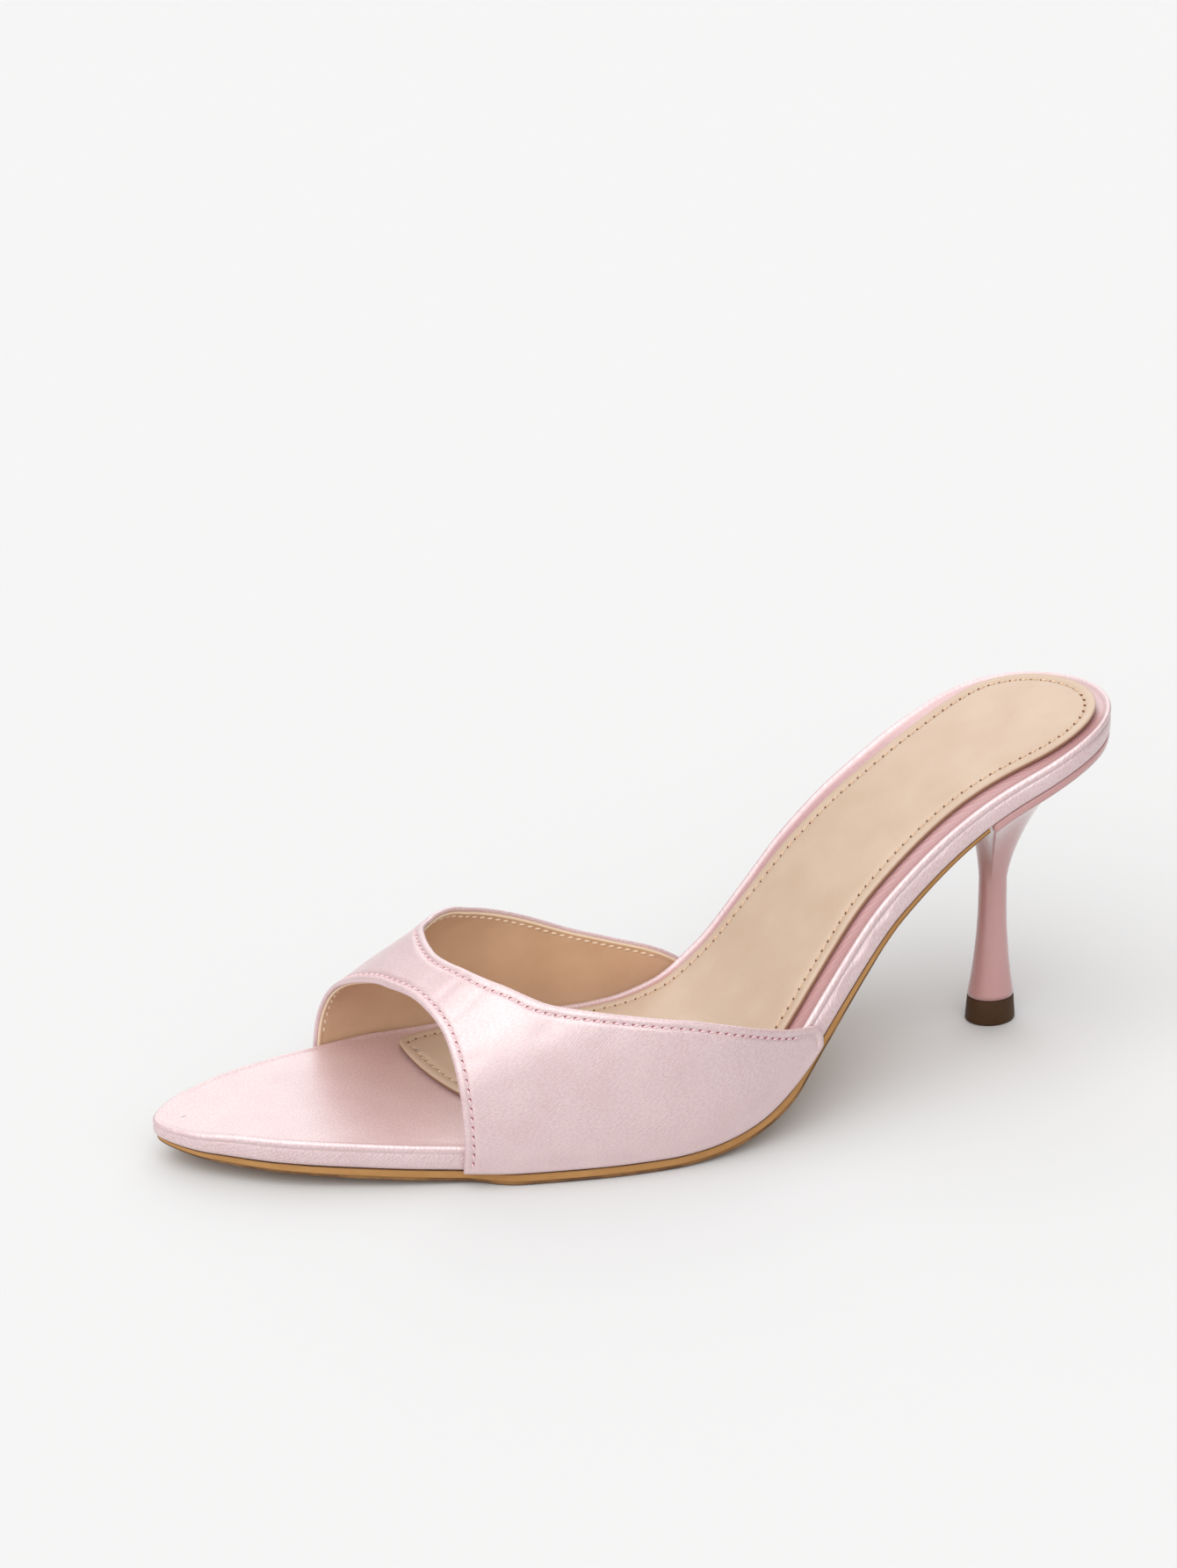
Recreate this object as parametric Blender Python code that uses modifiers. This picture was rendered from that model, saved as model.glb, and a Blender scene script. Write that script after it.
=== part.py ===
"""A left heeled mule: a pointed open toe, one wide band over the forefoot and a flared stiletto heel.

Metres. While it is modelled, X runs from the back of the heel seat to the toe, Y to the wearer's left,
which is the outer side of a left foot, and Z up from the floor. An empty then centres the shoe.
"""

import math

import bmesh
import bpy
from mathutils import Vector

# The last: the footbed's top, which every other piece is worked out from
LENGTH = 0.232
BALL_WIDTH = 0.0684
SEAT_RISE = 0.0735
TOE_SPRING = 0.0035
WAIST_CANT = 0.007
HEEL_END = 0.0255
TOE_END = 0.0095

# The layers, from the floor up
SOLE_THICKNESS = 0.003
SOLE_INSET = 0.0008
SOLE_BEVEL = 0.0006
SOLE_EASE = 0.05
BED_THICKNESS = 0.0059
BED_ROUND = 0.0016
BED_UNDERCUT = 0.0007
SOCK_THICKNESS = 0.0012
SOCK_BORDER = 0.0052
SOCK_WAIST_BORDER = 0.0012
SOCK_ROUND = 0.0005
SOCK_TIP = 0.169
SOCK_TIP_SHIFT = -0.015
SOCK_TAPER = 0.76
SOCK_OUTER_BEND = 2.8
SOCK_INNER_BEND = 4.5
CLEARANCE = 0.0003

# The band over the forefoot
WALL = 0.0017
INSTEP_HEIGHT = 0.0395
RIDGE_SHIFT = 0.004
OUTER_FULLNESS = 1.09
INNER_FULLNESS = 1.17

# The heel and its top piece
BREAST = 0.038
HEEL_PLACE = 0.0262
HEEL_SHIFT = 0.0014
CUP_INSET = 0.0006
CUP_DEPTH = 0.0019
NECK_HEIGHT = 0.037
NECK_DIAMETER = 0.0069
STEM_DIAMETER = 0.0114
STEM_OVAL = 0.86
TIP_HEIGHT = 0.0064
TIP_DIAMETER = 0.0123
TIP_BEVEL = 0.0004

# Widths from the X axis as shares of BALL_WIDTH, against shares of LENGTH
OUTLINE = (
    # along, outer, inner
    (0.00, 0.400, 0.305),
    (0.11, 0.343, 0.343),
    (0.19, 0.322, 0.324),
    (0.27, 0.353, 0.338),
    (0.32, 0.413, 0.346),
    (0.37, 0.493, 0.342),
    (0.42, 0.574, 0.342),
    (0.47, 0.628, 0.345),
    (0.52, 0.644, 0.354),
    (0.57, 0.634, 0.371),
    (0.66, 0.581, 0.397),
    (0.74, 0.509, 0.382),
    (0.82, 0.429, 0.316),
    (0.90, 0.318, 0.234),
    (0.96, 0.177, 0.160),
    (1.00, 0.074, 0.126),
)

# The top's rise as a share of SEAT_RISE, its spring of TOE_SPRING and its cant of WAIST_CANT, and the
# thickness of footbed and outsole as shares of their own
PROFILE = (
    # along, rise, spring, cant, bed, sole
    (0.00, 1.000, 0.00, 0.00, 1.00, 0.40),
    (0.05, 0.950, 0.00, 0.20, 1.00, 0.40),
    (0.10, 0.882, 0.00, 0.50, 1.00, 0.40),
    (0.15, 0.800, 0.00, 0.80, 1.00, 0.40),
    (0.20, 0.697, 0.00, 1.00, 1.00, 0.44),
    (0.25, 0.578, 0.00, 1.00, 1.00, 0.50),
    (0.30, 0.442, 0.00, 0.84, 1.00, 0.58),
    (0.35, 0.286, 0.00, 0.52, 1.00, 0.70),
    (0.40, 0.139, 0.00, 0.20, 1.00, 0.84),
    (0.45, 0.044, 0.00, 0.04, 1.00, 0.94),
    (0.50, 0.008, 0.00, 0.00, 1.00, 1.00),
    (0.54, 0.000, 0.00, 0.00, 1.00, 1.00),
    (0.68, 0.000, 0.00, 0.00, 1.00, 1.00),
    (0.76, 0.000, 0.28, 0.00, 1.00, 1.00),
    (0.84, 0.000, 0.66, 0.00, 1.00, 0.98),
    (0.92, 0.000, 0.92, 0.00, 0.96, 0.86),
    (1.00, 0.000, 1.00, 0.00, 0.58, 0.40),
)

# The band's ridge over the footbed as shares of INSTEP_HEIGHT
ARCH = (
    # along, ridge
    (0.34, 1.95),
    (0.45, 1.63),
    (0.55, 1.30),
    (0.63, 1.13),
    (0.67, 1.04),
    (0.71, 0.87),
    (0.75, 0.71),
    (0.79, 0.56),
    (0.86, 0.43),
)

# Where the band starts and ends as shares of LENGTH, against its girth: -1 and 1 are the footbed's
# outer and inner edges, 0 is the ridge, and past them the band laps the footbed's side
BAND = (
    # girth, front, back
    (-1.25, 0.734, 0.367),
    (-1.00, 0.732, 0.373),
    (-0.90, 0.732, 0.417),
    (-0.75, 0.732, 0.494),
    (-0.50, 0.734, 0.647),
    (-0.25, 0.745, 0.695),
    (0.00, 0.764, 0.714),
    (0.25, 0.783, 0.705),
    (0.50, 0.795, 0.654),
    (0.75, 0.803, 0.549),
    (0.90, 0.807, 0.462),
    (1.00, 0.809, 0.420),
    (1.25, 0.811, 0.412),
)
LAP_GIRTH = 0.25

# The stem from its foot to its neck: how far up it is, and its diameter from STEM_DIAMETER, at 1,
# down to NECK_DIAMETER, at 0
STEM = (
    # up, swell
    (0.00, 1.00),
    (0.10, 0.78),
    (0.22, 0.56),
    (0.38, 0.33),
    (0.56, 0.14),
    (0.76, 0.03),
    (1.00, 0.00),
)

STATIONS = 64
BAND_ROWS = 26
BAND_COLUMNS = 46
HEEL_SIDES = 44
FLARE_RINGS = 9
FLARE_BEND = 1.4
SEAT_RINGS = 4
SEAT_SHARE = 0.16
SLOPE_STEP = 0.005
EDGE_STEP = LENGTH / 600

for leftover in list(bpy.data.objects):
    bpy.data.objects.remove(leftover)

shoe = bpy.data.collections.new("heeled_mule")
bpy.context.scene.collection.children.link(shoe)
centre = bpy.data.objects.new("centre", None)
shoe.objects.link(centre)


def curve(table, column):
    """A smooth line through one column of a table, which never swings past its rows."""
    xs = [row[0] for row in table]
    ys = [row[column] for row in table]
    steps = [b - a for a, b in zip(xs, xs[1:])]
    slopes = [(b - a) / step for a, b, step in zip(ys, ys[1:], steps)]
    tangents = [slopes[0]]
    for left, right, before, after in zip(slopes, slopes[1:], steps, steps[1:]):
        if left * right <= 0:
            tangents.append(0.0)
            continue
        near = 2 * after + before
        far = after + 2 * before
        tangents.append((near + far) / (near / left + far / right))
    tangents.append(slopes[-1])

    def at(x):
        x = min(max(x, xs[0]), xs[-1])
        k = max(i for i in range(len(steps)) if xs[i] <= x)
        t = (x - xs[k]) / steps[k]
        start = (1 + 2 * t) * (1 - t) ** 2 * ys[k] + t * (1 - t) ** 2 * steps[k] * tangents[k]
        end = t * t * (3 - 2 * t) * ys[k + 1] - t * t * (1 - t) * steps[k] * tangents[k + 1]
        return start + end

    return at


outer_share, inner_share = curve(OUTLINE, 1), curve(OUTLINE, 2)
rise_share, spring_share, cant_share = curve(PROFILE, 1), curve(PROFILE, 2), curve(PROFILE, 3)
bed_share, sole_share = curve(PROFILE, 4), curve(PROFILE, 5)
ridge_share, band_front, band_back = curve(ARCH, 1), curve(BAND, 1), curve(BAND, 2)
swell = curve(STEM, 1)


def eased(t):
    """0 to 1 with a soft start and end."""
    t = min(max(t, 0), 1)
    return t * t * (3 - 2 * t)


def side(x, sign):
    """Y of the footbed's outer (sign 1) or inner (-1) edge at x, its two ends rounded."""
    outer, inner = BALL_WIDTH * outer_share(x / LENGTH), BALL_WIDTH * inner_share(x / LENGTH)
    back = min(max(x / HEEL_END, 0), 1)
    front = min(max((LENGTH - x) / TOE_END, 0), 1)
    opened = math.sqrt(1 - (1 - back) ** 2) * math.sqrt(1 - (1 - front) ** 2)
    return (outer - inner) / 2 + sign * (outer + inner) / 2 * opened


def bed_top(x, y):
    """Height of the footbed's top over the floor."""
    share = x / LENGTH
    outer, inner = BALL_WIDTH * outer_share(share), BALL_WIDTH * inner_share(share)
    across = (outer - y) / (outer + inner)
    base = SOLE_THICKNESS + CLEARANCE + BED_THICKNESS * bed_share(share)
    rise = SEAT_RISE * rise_share(share) + TOE_SPRING * spring_share(share)
    return base + rise + WAIST_CANT * cant_share(share) * across


def down(x):
    """The way the layers are stacked: straight down at the heel seat and forefoot, square to the waist."""
    share = x / LENGTH
    drop = rise_share(share + SLOPE_STEP) - rise_share(share - SLOPE_STEP)
    slope = SEAT_RISE * drop / (2 * SLOPE_STEP * LENGTH)
    angle = math.atan(slope) * eased(share / SEAT_SHARE - 0.5)
    return Vector((math.sin(angle), 0, -math.cos(angle)))


def on_bed(x, y, depth):
    """The point that lies depth under the footbed's top at x, y, or over it where depth is negative."""
    return Vector((x, y, bed_top(x, y))) + down(x) * depth


def stations(start, end):
    """Places along the shoe from start to end, crowded towards both."""
    turns = [math.pi * i / STATIONS for i in range(STATIONS + 1)]
    return [start + (end - start) * (1 - math.cos(turn)) / 2 for turn in turns]


def band_reach(x, sign):
    """How far the band stands out from the footbed's edge at x, easing to nothing at its two ends."""
    share = x / LENGTH
    from_back = (share - band_back(-sign)) / SOLE_EASE
    from_front = (band_front(-sign) - share) / SOLE_EASE
    return (CLEARANCE + WALL) * eased(from_back) * eased(from_front)


def bed_edge(xs, sign, inset, past_band=False):
    """Points of the footbed's edge in plan at each x, moved inwards by inset, and out under the band if asked."""
    points = []
    for x in xs:
        a, b = max(x - EDGE_STEP, 0), min(x + EDGE_STEP, LENGTH)
        inwards = Vector((side(b, sign) - side(a, sign), a - b)).normalized() * sign
        if x <= 0 or x >= LENGTH:
            inwards = Vector((1 if x <= 0 else -1, 0))
        reach = band_reach(x, sign) if past_band else 0
        points.append(Vector((x, side(x, sign))) + inwards * (inset - reach))
    return points


def finished(name, mesh):
    """Puts a bmesh into the shoe's collection as one object, with its faces outward."""
    bmesh.ops.remove_doubles(mesh, verts=mesh.verts, dist=0.00001)
    bmesh.ops.recalc_face_normals(mesh, faces=mesh.faces)
    data = bpy.data.meshes.new(name)
    mesh.to_mesh(data)
    mesh.free()
    piece = bpy.data.objects.new(name, data)
    shoe.objects.link(piece)
    piece.parent = centre
    return piece


def finish(piece, colour, roughness, coat=0.0, sheen=0.0):
    """Gives a piece its own material."""
    material = bpy.data.materials.new(piece.name + "_finish")
    material.use_nodes = True
    shader = material.node_tree.nodes["Principled BSDF"]
    shader.inputs["Base Color"].default_value = (*colour, 1)
    shader.inputs["Roughness"].default_value = roughness
    shader.inputs["Metallic"].default_value = 0.0
    shader.inputs["Coat Weight"].default_value = coat
    shader.inputs["Sheen Weight"].default_value = sheen
    piece.data.materials.append(material)


def sheet(name, layers):
    """A sheet shaped to the last. Each layer is an outer and an inner edge of points, from the bottom up."""
    mesh = bmesh.new()
    rings = [[[mesh.verts.new(point) for point in line] for line in layer] for layer in layers]
    last = len(rings[0][0]) - 1
    for (outer, inner), (outer_above, inner_above) in zip(rings, rings[1:]):
        for i in range(last):
            mesh.faces.new((outer[i + 1], outer[i], outer_above[i], outer_above[i + 1]))
            mesh.faces.new((inner[i], inner[i + 1], inner_above[i + 1], inner_above[i]))
        mesh.faces.new((outer[0], inner[0], inner_above[0], outer_above[0]))
        mesh.faces.new((inner[last], outer[last], outer_above[last], inner_above[last]))
    for outer, inner in (rings[0], rings[-1]):
        for i in range(last):
            mesh.faces.new((outer[i], outer[i + 1], inner[i + 1], inner[i]))
    return finished(name, mesh)


def bed_layer(xs, inset, depth, past_band=False):
    """Both edges of the footbed's outline, moved in by inset and laid at the depth that depth(x) gives."""
    lines = [bed_edge(xs, sign, inset, past_band) for sign in (1, -1)]
    return [[on_bed(point.x, point.y, depth(point.x)) for point in line] for line in lines]


def bed_bottom(x):
    return BED_THICKNESS * bed_share(x / LENGTH)


def sole_top(x):
    return bed_bottom(x) + CLEARANCE


def sole_bottom(x):
    return sole_top(x) + SOLE_THICKNESS * sole_share(x / LENGTH)


def build_outsole():
    """The rubber sheet from the heel's breast to the toe, wider under the band, its lower edge bevelled."""
    xs = stations(BREAST + CLEARANCE, LENGTH)
    outsole = sheet("outsole", (
        bed_layer(xs, SOLE_INSET + SOLE_BEVEL, sole_bottom, past_band=True),
        bed_layer(xs, SOLE_INSET, lambda x: sole_bottom(x) - SOLE_BEVEL * sole_share(x / LENGTH), past_band=True),
        bed_layer(xs, SOLE_INSET, sole_top, past_band=True),
    ))
    finish(outsole, (0.50, 0.27, 0.12), 0.55)


def build_footbed():
    """The satin-wrapped board, its lower edge turned under and its top edge rounded."""
    xs = stations(0, LENGTH)
    layers = [
        bed_layer(xs, BED_UNDERCUT, bed_bottom),
        bed_layer(xs, 0, lambda x: bed_bottom(x) - BED_UNDERCUT),
    ]
    for turn in (0, math.pi / 6, math.pi / 3, math.pi / 2):
        fall = BED_ROUND * (1 - math.sin(turn))
        inset = BED_ROUND * (1 - math.cos(turn))
        layers.append(bed_layer(xs, inset, lambda x, fall=fall: fall * bed_share(x / LENGTH)))
    footbed = sheet("footbed", layers)
    finish(footbed, (0.78, 0.58, 0.60), 0.4, sheen=0.3)


def sock_layer(inset, height):
    """Both edges of the sock: the footbed's outline less its border, drawn in to a point at the front."""
    start = SOCK_TIP * SOCK_TAPER
    end = SOCK_TIP - inset
    lines = []
    for sign, bend in ((1, SOCK_OUTER_BEND), (-1, SOCK_INNER_BEND)):
        line = []
        for point in bed_edge(stations(0, end), sign, SOCK_BORDER + inset):
            x = min(point.x, end)
            narrowed = 1 - min(max((x - start) / (end - start), 0), 1) ** bend
            y = SOCK_TIP_SHIFT + (point.y - SOCK_TIP_SHIFT) * narrowed
            if sign < 0:
                y += SOCK_WAIST_BORDER * cant_share(x / LENGTH)
            line.append(on_bed(x, y, -height))
        lines.append(line)
    return lines


def build_sock():
    """The padded insole pad that lies on the footbed, its top edge eased."""
    low = CLEARANCE
    high = CLEARANCE + SOCK_THICKNESS
    half_turned = SOCK_ROUND * (1 - math.sqrt(0.5))
    sock = sheet("sock", (
        sock_layer(0, low),
        sock_layer(0, high - SOCK_ROUND),
        sock_layer(half_turned, high - half_turned),
        sock_layer(SOCK_ROUND, high),
    ))
    finish(sock, (0.78, 0.62, 0.48), 0.6)


def on_band(x, girth):
    """The band's inside at x. Its sides rise from the footbed's edges to the ridge, or lap the edges."""
    sign = -1 if girth > 0 else 1
    reach = abs(girth)
    edge = side(x, sign) + sign * CLEARANCE
    if reach > 1:
        return on_bed(x, edge, bed_bottom(x) * (reach - 1) / LAP_GIRTH)
    share = x / LENGTH
    fullness = OUTER_FULLNESS if sign > 0 else INNER_FULLNESS
    turn = math.pi / 2 * (1 - reach)
    foot = on_bed(x, edge, 0)
    ridge = on_bed(x, RIDGE_SHIFT, 0).z + INSTEP_HEIGHT * ridge_share(share)
    y = RIDGE_SHIFT + (edge - RIDGE_SHIFT) * math.cos(turn) ** (1 / fullness)
    return Vector((x, y, foot.z + (ridge - foot.z) * math.sin(turn) ** (1 / fullness)))


def build_upper():
    """One wide band: an open sheet over the last from the toe opening to the topline, given its wall."""
    mesh = bmesh.new()
    bmesh.ops.create_grid(mesh, x_segments=BAND_COLUMNS, y_segments=BAND_ROWS, size=1)
    reach = 1 + LAP_GIRTH
    for vert in mesh.verts:
        girth, along = vert.co.x * reach, (vert.co.y + 1) / 2
        front, back = band_front(girth), band_back(girth)
        vert.co = on_band(LENGTH * (back + (front - back) * along), girth)
    upper = finished("upper", mesh)
    wall = upper.modifiers.new("wall", "SOLIDIFY")
    wall.thickness = WALL
    wall.offset = 1
    wall.use_even_offset = True
    finish(upper, (0.80, 0.60, 0.62), 0.4, sheen=0.3)


def heel_ring(radius_of, height):
    """A ring of the stem: an oval of the radius that radius_of(turn) gives."""
    ring = []
    for i in range(HEEL_SIDES):
        turn = 2 * math.pi * i / HEEL_SIDES
        radius = radius_of(turn)
        ring.append(Vector((HEEL_PLACE + radius * math.cos(turn), HEEL_SHIFT + radius * math.sin(turn), height)))
    return ring


def oval(diameter):
    """The distance from the middle to an oval that is narrower across the shoe than along it."""
    half = diameter / 2
    return lambda turn: half * STEM_OVAL / math.hypot(STEM_OVAL * math.cos(turn), math.sin(turn))


def seat_reach(turn):
    """How far the seat's edge lies from the stem's middle in a direction, in plan."""
    nearest, furthest = 0.0, BALL_WIDTH
    while furthest - nearest > 0.00001:
        reach = (nearest + furthest) / 2
        x = HEEL_PLACE + reach * math.cos(turn)
        y = HEEL_SHIFT + reach * math.sin(turn)
        inside = CUP_INSET < x < BREAST - CUP_INSET
        if inside and side(x, -1) + CUP_INSET < y < side(x, 1) - CUP_INSET:
            nearest = reach
        else:
            furthest = reach
    return nearest


def seat_ring(scale, depth):
    """A ring under the heel seat, the seat's own outline times scale."""
    ring = []
    for i in range(HEEL_SIDES):
        turn = 2 * math.pi * i / HEEL_SIDES
        reach = seat_reach(turn) * scale
        x = HEEL_PLACE + reach * math.cos(turn)
        y = HEEL_SHIFT + reach * math.sin(turn)
        ring.append(on_bed(x, y, bed_bottom(x) + depth))
    return ring


def build_heel():
    """The moulded stiletto: a shallow cup under the seat that sweeps into a slim stem with a flared foot."""
    foot = TIP_HEIGHT + CLEARANCE
    rings = []
    for up in (row[0] for row in STEM):
        diameter = NECK_DIAMETER + (STEM_DIAMETER - NECK_DIAMETER) * swell(up)
        rings.append(heel_ring(oval(diameter), foot + (NECK_HEIGHT - foot) * up))
    neck = rings[-1]
    rim = seat_ring(1, CLEARANCE + CUP_DEPTH)
    for i in range(1, FLARE_RINGS + 1):
        turn = math.pi / 2 * i / FLARE_RINGS
        out = 1 - math.cos(turn) ** FLARE_BEND
        up = math.sin(turn) ** FLARE_BEND
        ring = []
        for low, high in zip(neck, rim):
            plan = low + (high - low) * out
            ring.append(Vector((plan.x, plan.y, low.z + (high.z - low.z) * up)))
        rings.append(ring)
    for i in range(SEAT_RINGS):
        rings.append(seat_ring(1 - i / SEAT_RINGS, CLEARANCE))
    mesh = bmesh.new()
    loops = [[mesh.verts.new(point) for point in ring] for ring in rings]
    for lower, upper in zip(loops, loops[1:]):
        for i in range(HEEL_SIDES):
            after = (i + 1) % HEEL_SIDES
            mesh.faces.new((lower[i], lower[after], upper[after], upper[i]))
    for loop in (loops[0], loops[-1]):
        mesh.faces.new(loop)
    heel = finished("heel", mesh)
    finish(heel, (0.55, 0.30, 0.30), 0.2, coat=0.5)


def build_heel_tip():
    """The rubber top piece: a short oval plug, a little wider at the floor, with an eased edge."""
    mesh = bmesh.new()
    bmesh.ops.create_cone(
        mesh, cap_ends=True, segments=HEEL_SIDES, depth=TIP_HEIGHT,
        radius1=TIP_DIAMETER / 2, radius2=STEM_DIAMETER / 2,
    )
    floor_edge = [edge for edge in mesh.edges if all(vert.co.z < 0 for vert in edge.verts)]
    bmesh.ops.bevel(mesh, geom=floor_edge, offset=TIP_BEVEL, segments=2, profile=0.5, affect="EDGES")
    bmesh.ops.scale(mesh, vec=(1, STEM_OVAL, 1), verts=mesh.verts)
    bmesh.ops.translate(mesh, vec=(HEEL_PLACE, HEEL_SHIFT, TIP_HEIGHT / 2), verts=mesh.verts)
    tip = finished("heel_tip", mesh)
    finish(tip, (0.07, 0.03, 0.015), 0.5)


def put_in_the_middle():
    """Moves the empty so that the whole shoe stands over the origin."""
    bpy.context.view_layer.update()
    depsgraph = bpy.context.evaluated_depsgraph_get()
    corners = []
    for piece in shoe.objects:
        if piece.type == "MESH":
            corners += [Vector(corner) for corner in piece.evaluated_get(depsgraph).bound_box]
    for axis in (0, 1):
        values = [corner[axis] for corner in corners]
        centre.location[axis] = -(min(values) + max(values)) / 2


build_outsole()
build_footbed()
build_sock()
build_upper()
build_heel()
build_heel_tip()
put_in_the_middle()
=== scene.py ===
import bisect
import math

import bmesh
import bpy
from mathutils import Matrix, Vector


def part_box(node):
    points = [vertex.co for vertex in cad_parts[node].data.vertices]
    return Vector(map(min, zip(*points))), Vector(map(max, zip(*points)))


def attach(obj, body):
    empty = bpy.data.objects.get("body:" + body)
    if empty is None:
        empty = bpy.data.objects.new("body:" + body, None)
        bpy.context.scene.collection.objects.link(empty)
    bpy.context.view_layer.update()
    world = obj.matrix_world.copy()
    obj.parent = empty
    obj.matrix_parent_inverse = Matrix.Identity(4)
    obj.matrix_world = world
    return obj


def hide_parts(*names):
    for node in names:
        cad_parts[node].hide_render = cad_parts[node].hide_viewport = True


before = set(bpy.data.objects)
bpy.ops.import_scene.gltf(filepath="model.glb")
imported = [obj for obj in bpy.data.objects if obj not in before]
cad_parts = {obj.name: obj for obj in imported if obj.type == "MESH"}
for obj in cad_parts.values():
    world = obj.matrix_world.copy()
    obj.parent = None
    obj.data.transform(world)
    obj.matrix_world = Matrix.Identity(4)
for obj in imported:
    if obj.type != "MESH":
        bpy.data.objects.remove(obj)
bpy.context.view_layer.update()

# The room. A large pale sheet for a floor, an even pale sky with three soft boxes in it, and a camera on the
# outer side of the toe, a little over the shoe, where the photographer's stood.
FLOOR_REACH = 30.0
FLOOR_COLOUR = (0.616, 0.615, 0.614, 1)
SKY_COLOUR = (1.0, 1.0, 1.0, 1)
SKY_STRENGTH = 0.32
CAMERA_AZIMUTH = math.radians(161.137)
CAMERA_ELEVATION = math.radians(24.025)
CAMERA_ROLL = math.radians(-1.067)
CAMERA_DISTANCE = 0.97966
CAMERA_TARGET = Vector((0.01368, 0, 0.08123))
CAMERA_LENS = 99.956
SOFT_BOXES = (
    # azimuth, elevation, half width, soft edge, brightness over the sky's: the boxes' places as seen from the shoe
    (125.0, 50.0, 25.0, 30.0, 2.1),
    (205.0, 42.0, 18.0, 30.0, 0.6),
    (-20.0, 45.0, 20.0, 25.0, 1.4),
)


def feed(tree, node, inputs):
    """Sets or links a node's inputs."""
    for name, value in inputs.items():
        if isinstance(value, bpy.types.NodeSocket):
            tree.links.new(value, node.inputs[name])
        else:
            node.inputs[name].default_value = value
    return node


def add(tree, kind, inputs=None, **settings):
    """Adds one shader node to a tree, with its settings, and its inputs set or linked."""
    new = tree.nodes.new("ShaderNode" + kind)
    for name, value in settings.items():
        setattr(new, name, value)
    return feed(tree, new, inputs or {})


def blend(tree, share, deep, pale):
    """A colour that goes from deep to pale with share."""
    return add(tree, "Mix", {0: share, 6: deep, 7: pale}, data_type="RGBA").outputs[2]


def spread_out(tree, value, low, high, to_low=0.0, to_high=1.0):
    """A value between low and high, spread out between two others."""
    return add(tree, "MapRange", {
        "Value": value, "From Min": low, "From Max": high, "To Min": to_low, "To Max": to_high,
    }).outputs[0]


def relief_of(tree, height, strength, distance, over=None):
    """The normal of a surface with a fine relief, laid over another where one is given."""
    inputs = {"Height": height, "Strength": strength, "Distance": distance}
    return add(tree, "Bump", inputs | ({"Normal": over} if over else {})).outputs["Normal"]


def speckle(tree, where, scale, detail=2.0, roughness=0.5):
    """Soft random spots, scale of them to a metre."""
    return add(tree, "TexNoise", {
        "Vector": where, "Scale": scale, "Detail": detail, "Roughness": roughness,
    }).outputs["Fac"]


def sum_of(tree, a, b, operation="ADD"):
    """Two values added, or put together by another operation."""
    return add(tree, "Math", {0: a, 1: b}, operation=operation).outputs[0]


def plain_material(name):
    """An empty node material and its shader."""
    material = bpy.data.materials.new(name)
    material.use_nodes = True
    return material, material.node_tree, material.node_tree.nodes["Principled BSDF"]


def aim(thing, place, axis_x, axis_y, axis_z):
    """Stands a camera or light at a place, turned to three axes."""
    turned = Matrix((axis_x, axis_y, axis_z)).transposed().to_4x4()
    thing.matrix_world = Matrix.Translation(place) @ turned


def way(azimuth, elevation):
    """The direction that a camera at an azimuth and elevation, in degrees, stands in as seen from the shoe."""
    flat = math.cos(math.radians(elevation))
    turn = math.radians(azimuth)
    return Vector((math.sin(turn) * flat, -math.cos(turn) * flat, math.sin(math.radians(elevation))))


flat = math.cos(CAMERA_ELEVATION)
behind = Vector((math.sin(CAMERA_AZIMUTH) * flat, -math.cos(CAMERA_AZIMUTH) * flat, math.sin(CAMERA_ELEVATION)))
level_right = (-behind).cross(Vector((0, 0, 1))).normalized()
level_up = level_right.cross(-behind)
frame_right = level_right * math.cos(CAMERA_ROLL) + level_up * math.sin(CAMERA_ROLL)
frame_up = level_up * math.cos(CAMERA_ROLL) - level_right * math.sin(CAMERA_ROLL)
lens = bpy.data.cameras.new("camera")
lens.lens = CAMERA_LENS
lens.sensor_width = 36.0
camera = bpy.data.objects.new("camera", lens)
bpy.context.scene.collection.objects.link(camera)
aim(camera, CAMERA_TARGET + behind * CAMERA_DISTANCE, frame_right, frame_up, behind)
bpy.context.scene.camera = camera

sky = bpy.data.worlds.new("studio")
sky.use_nodes = True
sky_tree = sky.node_tree
sky_where = add(sky_tree, "TexCoord")
brightness = SKY_STRENGTH
for azimuth, elevation, half_width, soft_edge, strength in SOFT_BOXES:
    facing = add(sky_tree, "VectorMath", {0: sky_where.outputs["Generated"], 1: way(azimuth, elevation)},
                 operation="DOT_PRODUCT")
    box = add(sky_tree, "MapRange", {
        "Value": facing.outputs["Value"],
        "From Min": math.cos(math.radians(half_width + soft_edge)),
        "From Max": math.cos(math.radians(half_width)),
        "To Max": strength,
    }, interpolation_type="SMOOTHSTEP")
    brightness = sum_of(sky_tree, brightness, box.outputs[0])
feed(sky_tree, sky_tree.nodes["Background"], {"Color": SKY_COLOUR, "Strength": brightness})
bpy.context.scene.world = sky
bpy.context.scene.view_settings.view_transform = "Standard"

floor_mesh = bmesh.new()
bmesh.ops.create_grid(floor_mesh, x_segments=1, y_segments=1, size=FLOOR_REACH)
floor_data = bpy.data.meshes.new("floor")
floor_mesh.to_mesh(floor_data)
floor_mesh.free()
floor = bpy.data.objects.new("floor", floor_data)
bpy.context.scene.collection.objects.link(floor)
floor_material, floor_tree, floor_shader = plain_material("floor_paper")
feed(floor_tree, floor_shader, {"Base Color": FLOOR_COLOUR, "Roughness": 0.9, "Specular IOR Level": 0.1})
floor_data.materials.append(floor_material)

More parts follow.
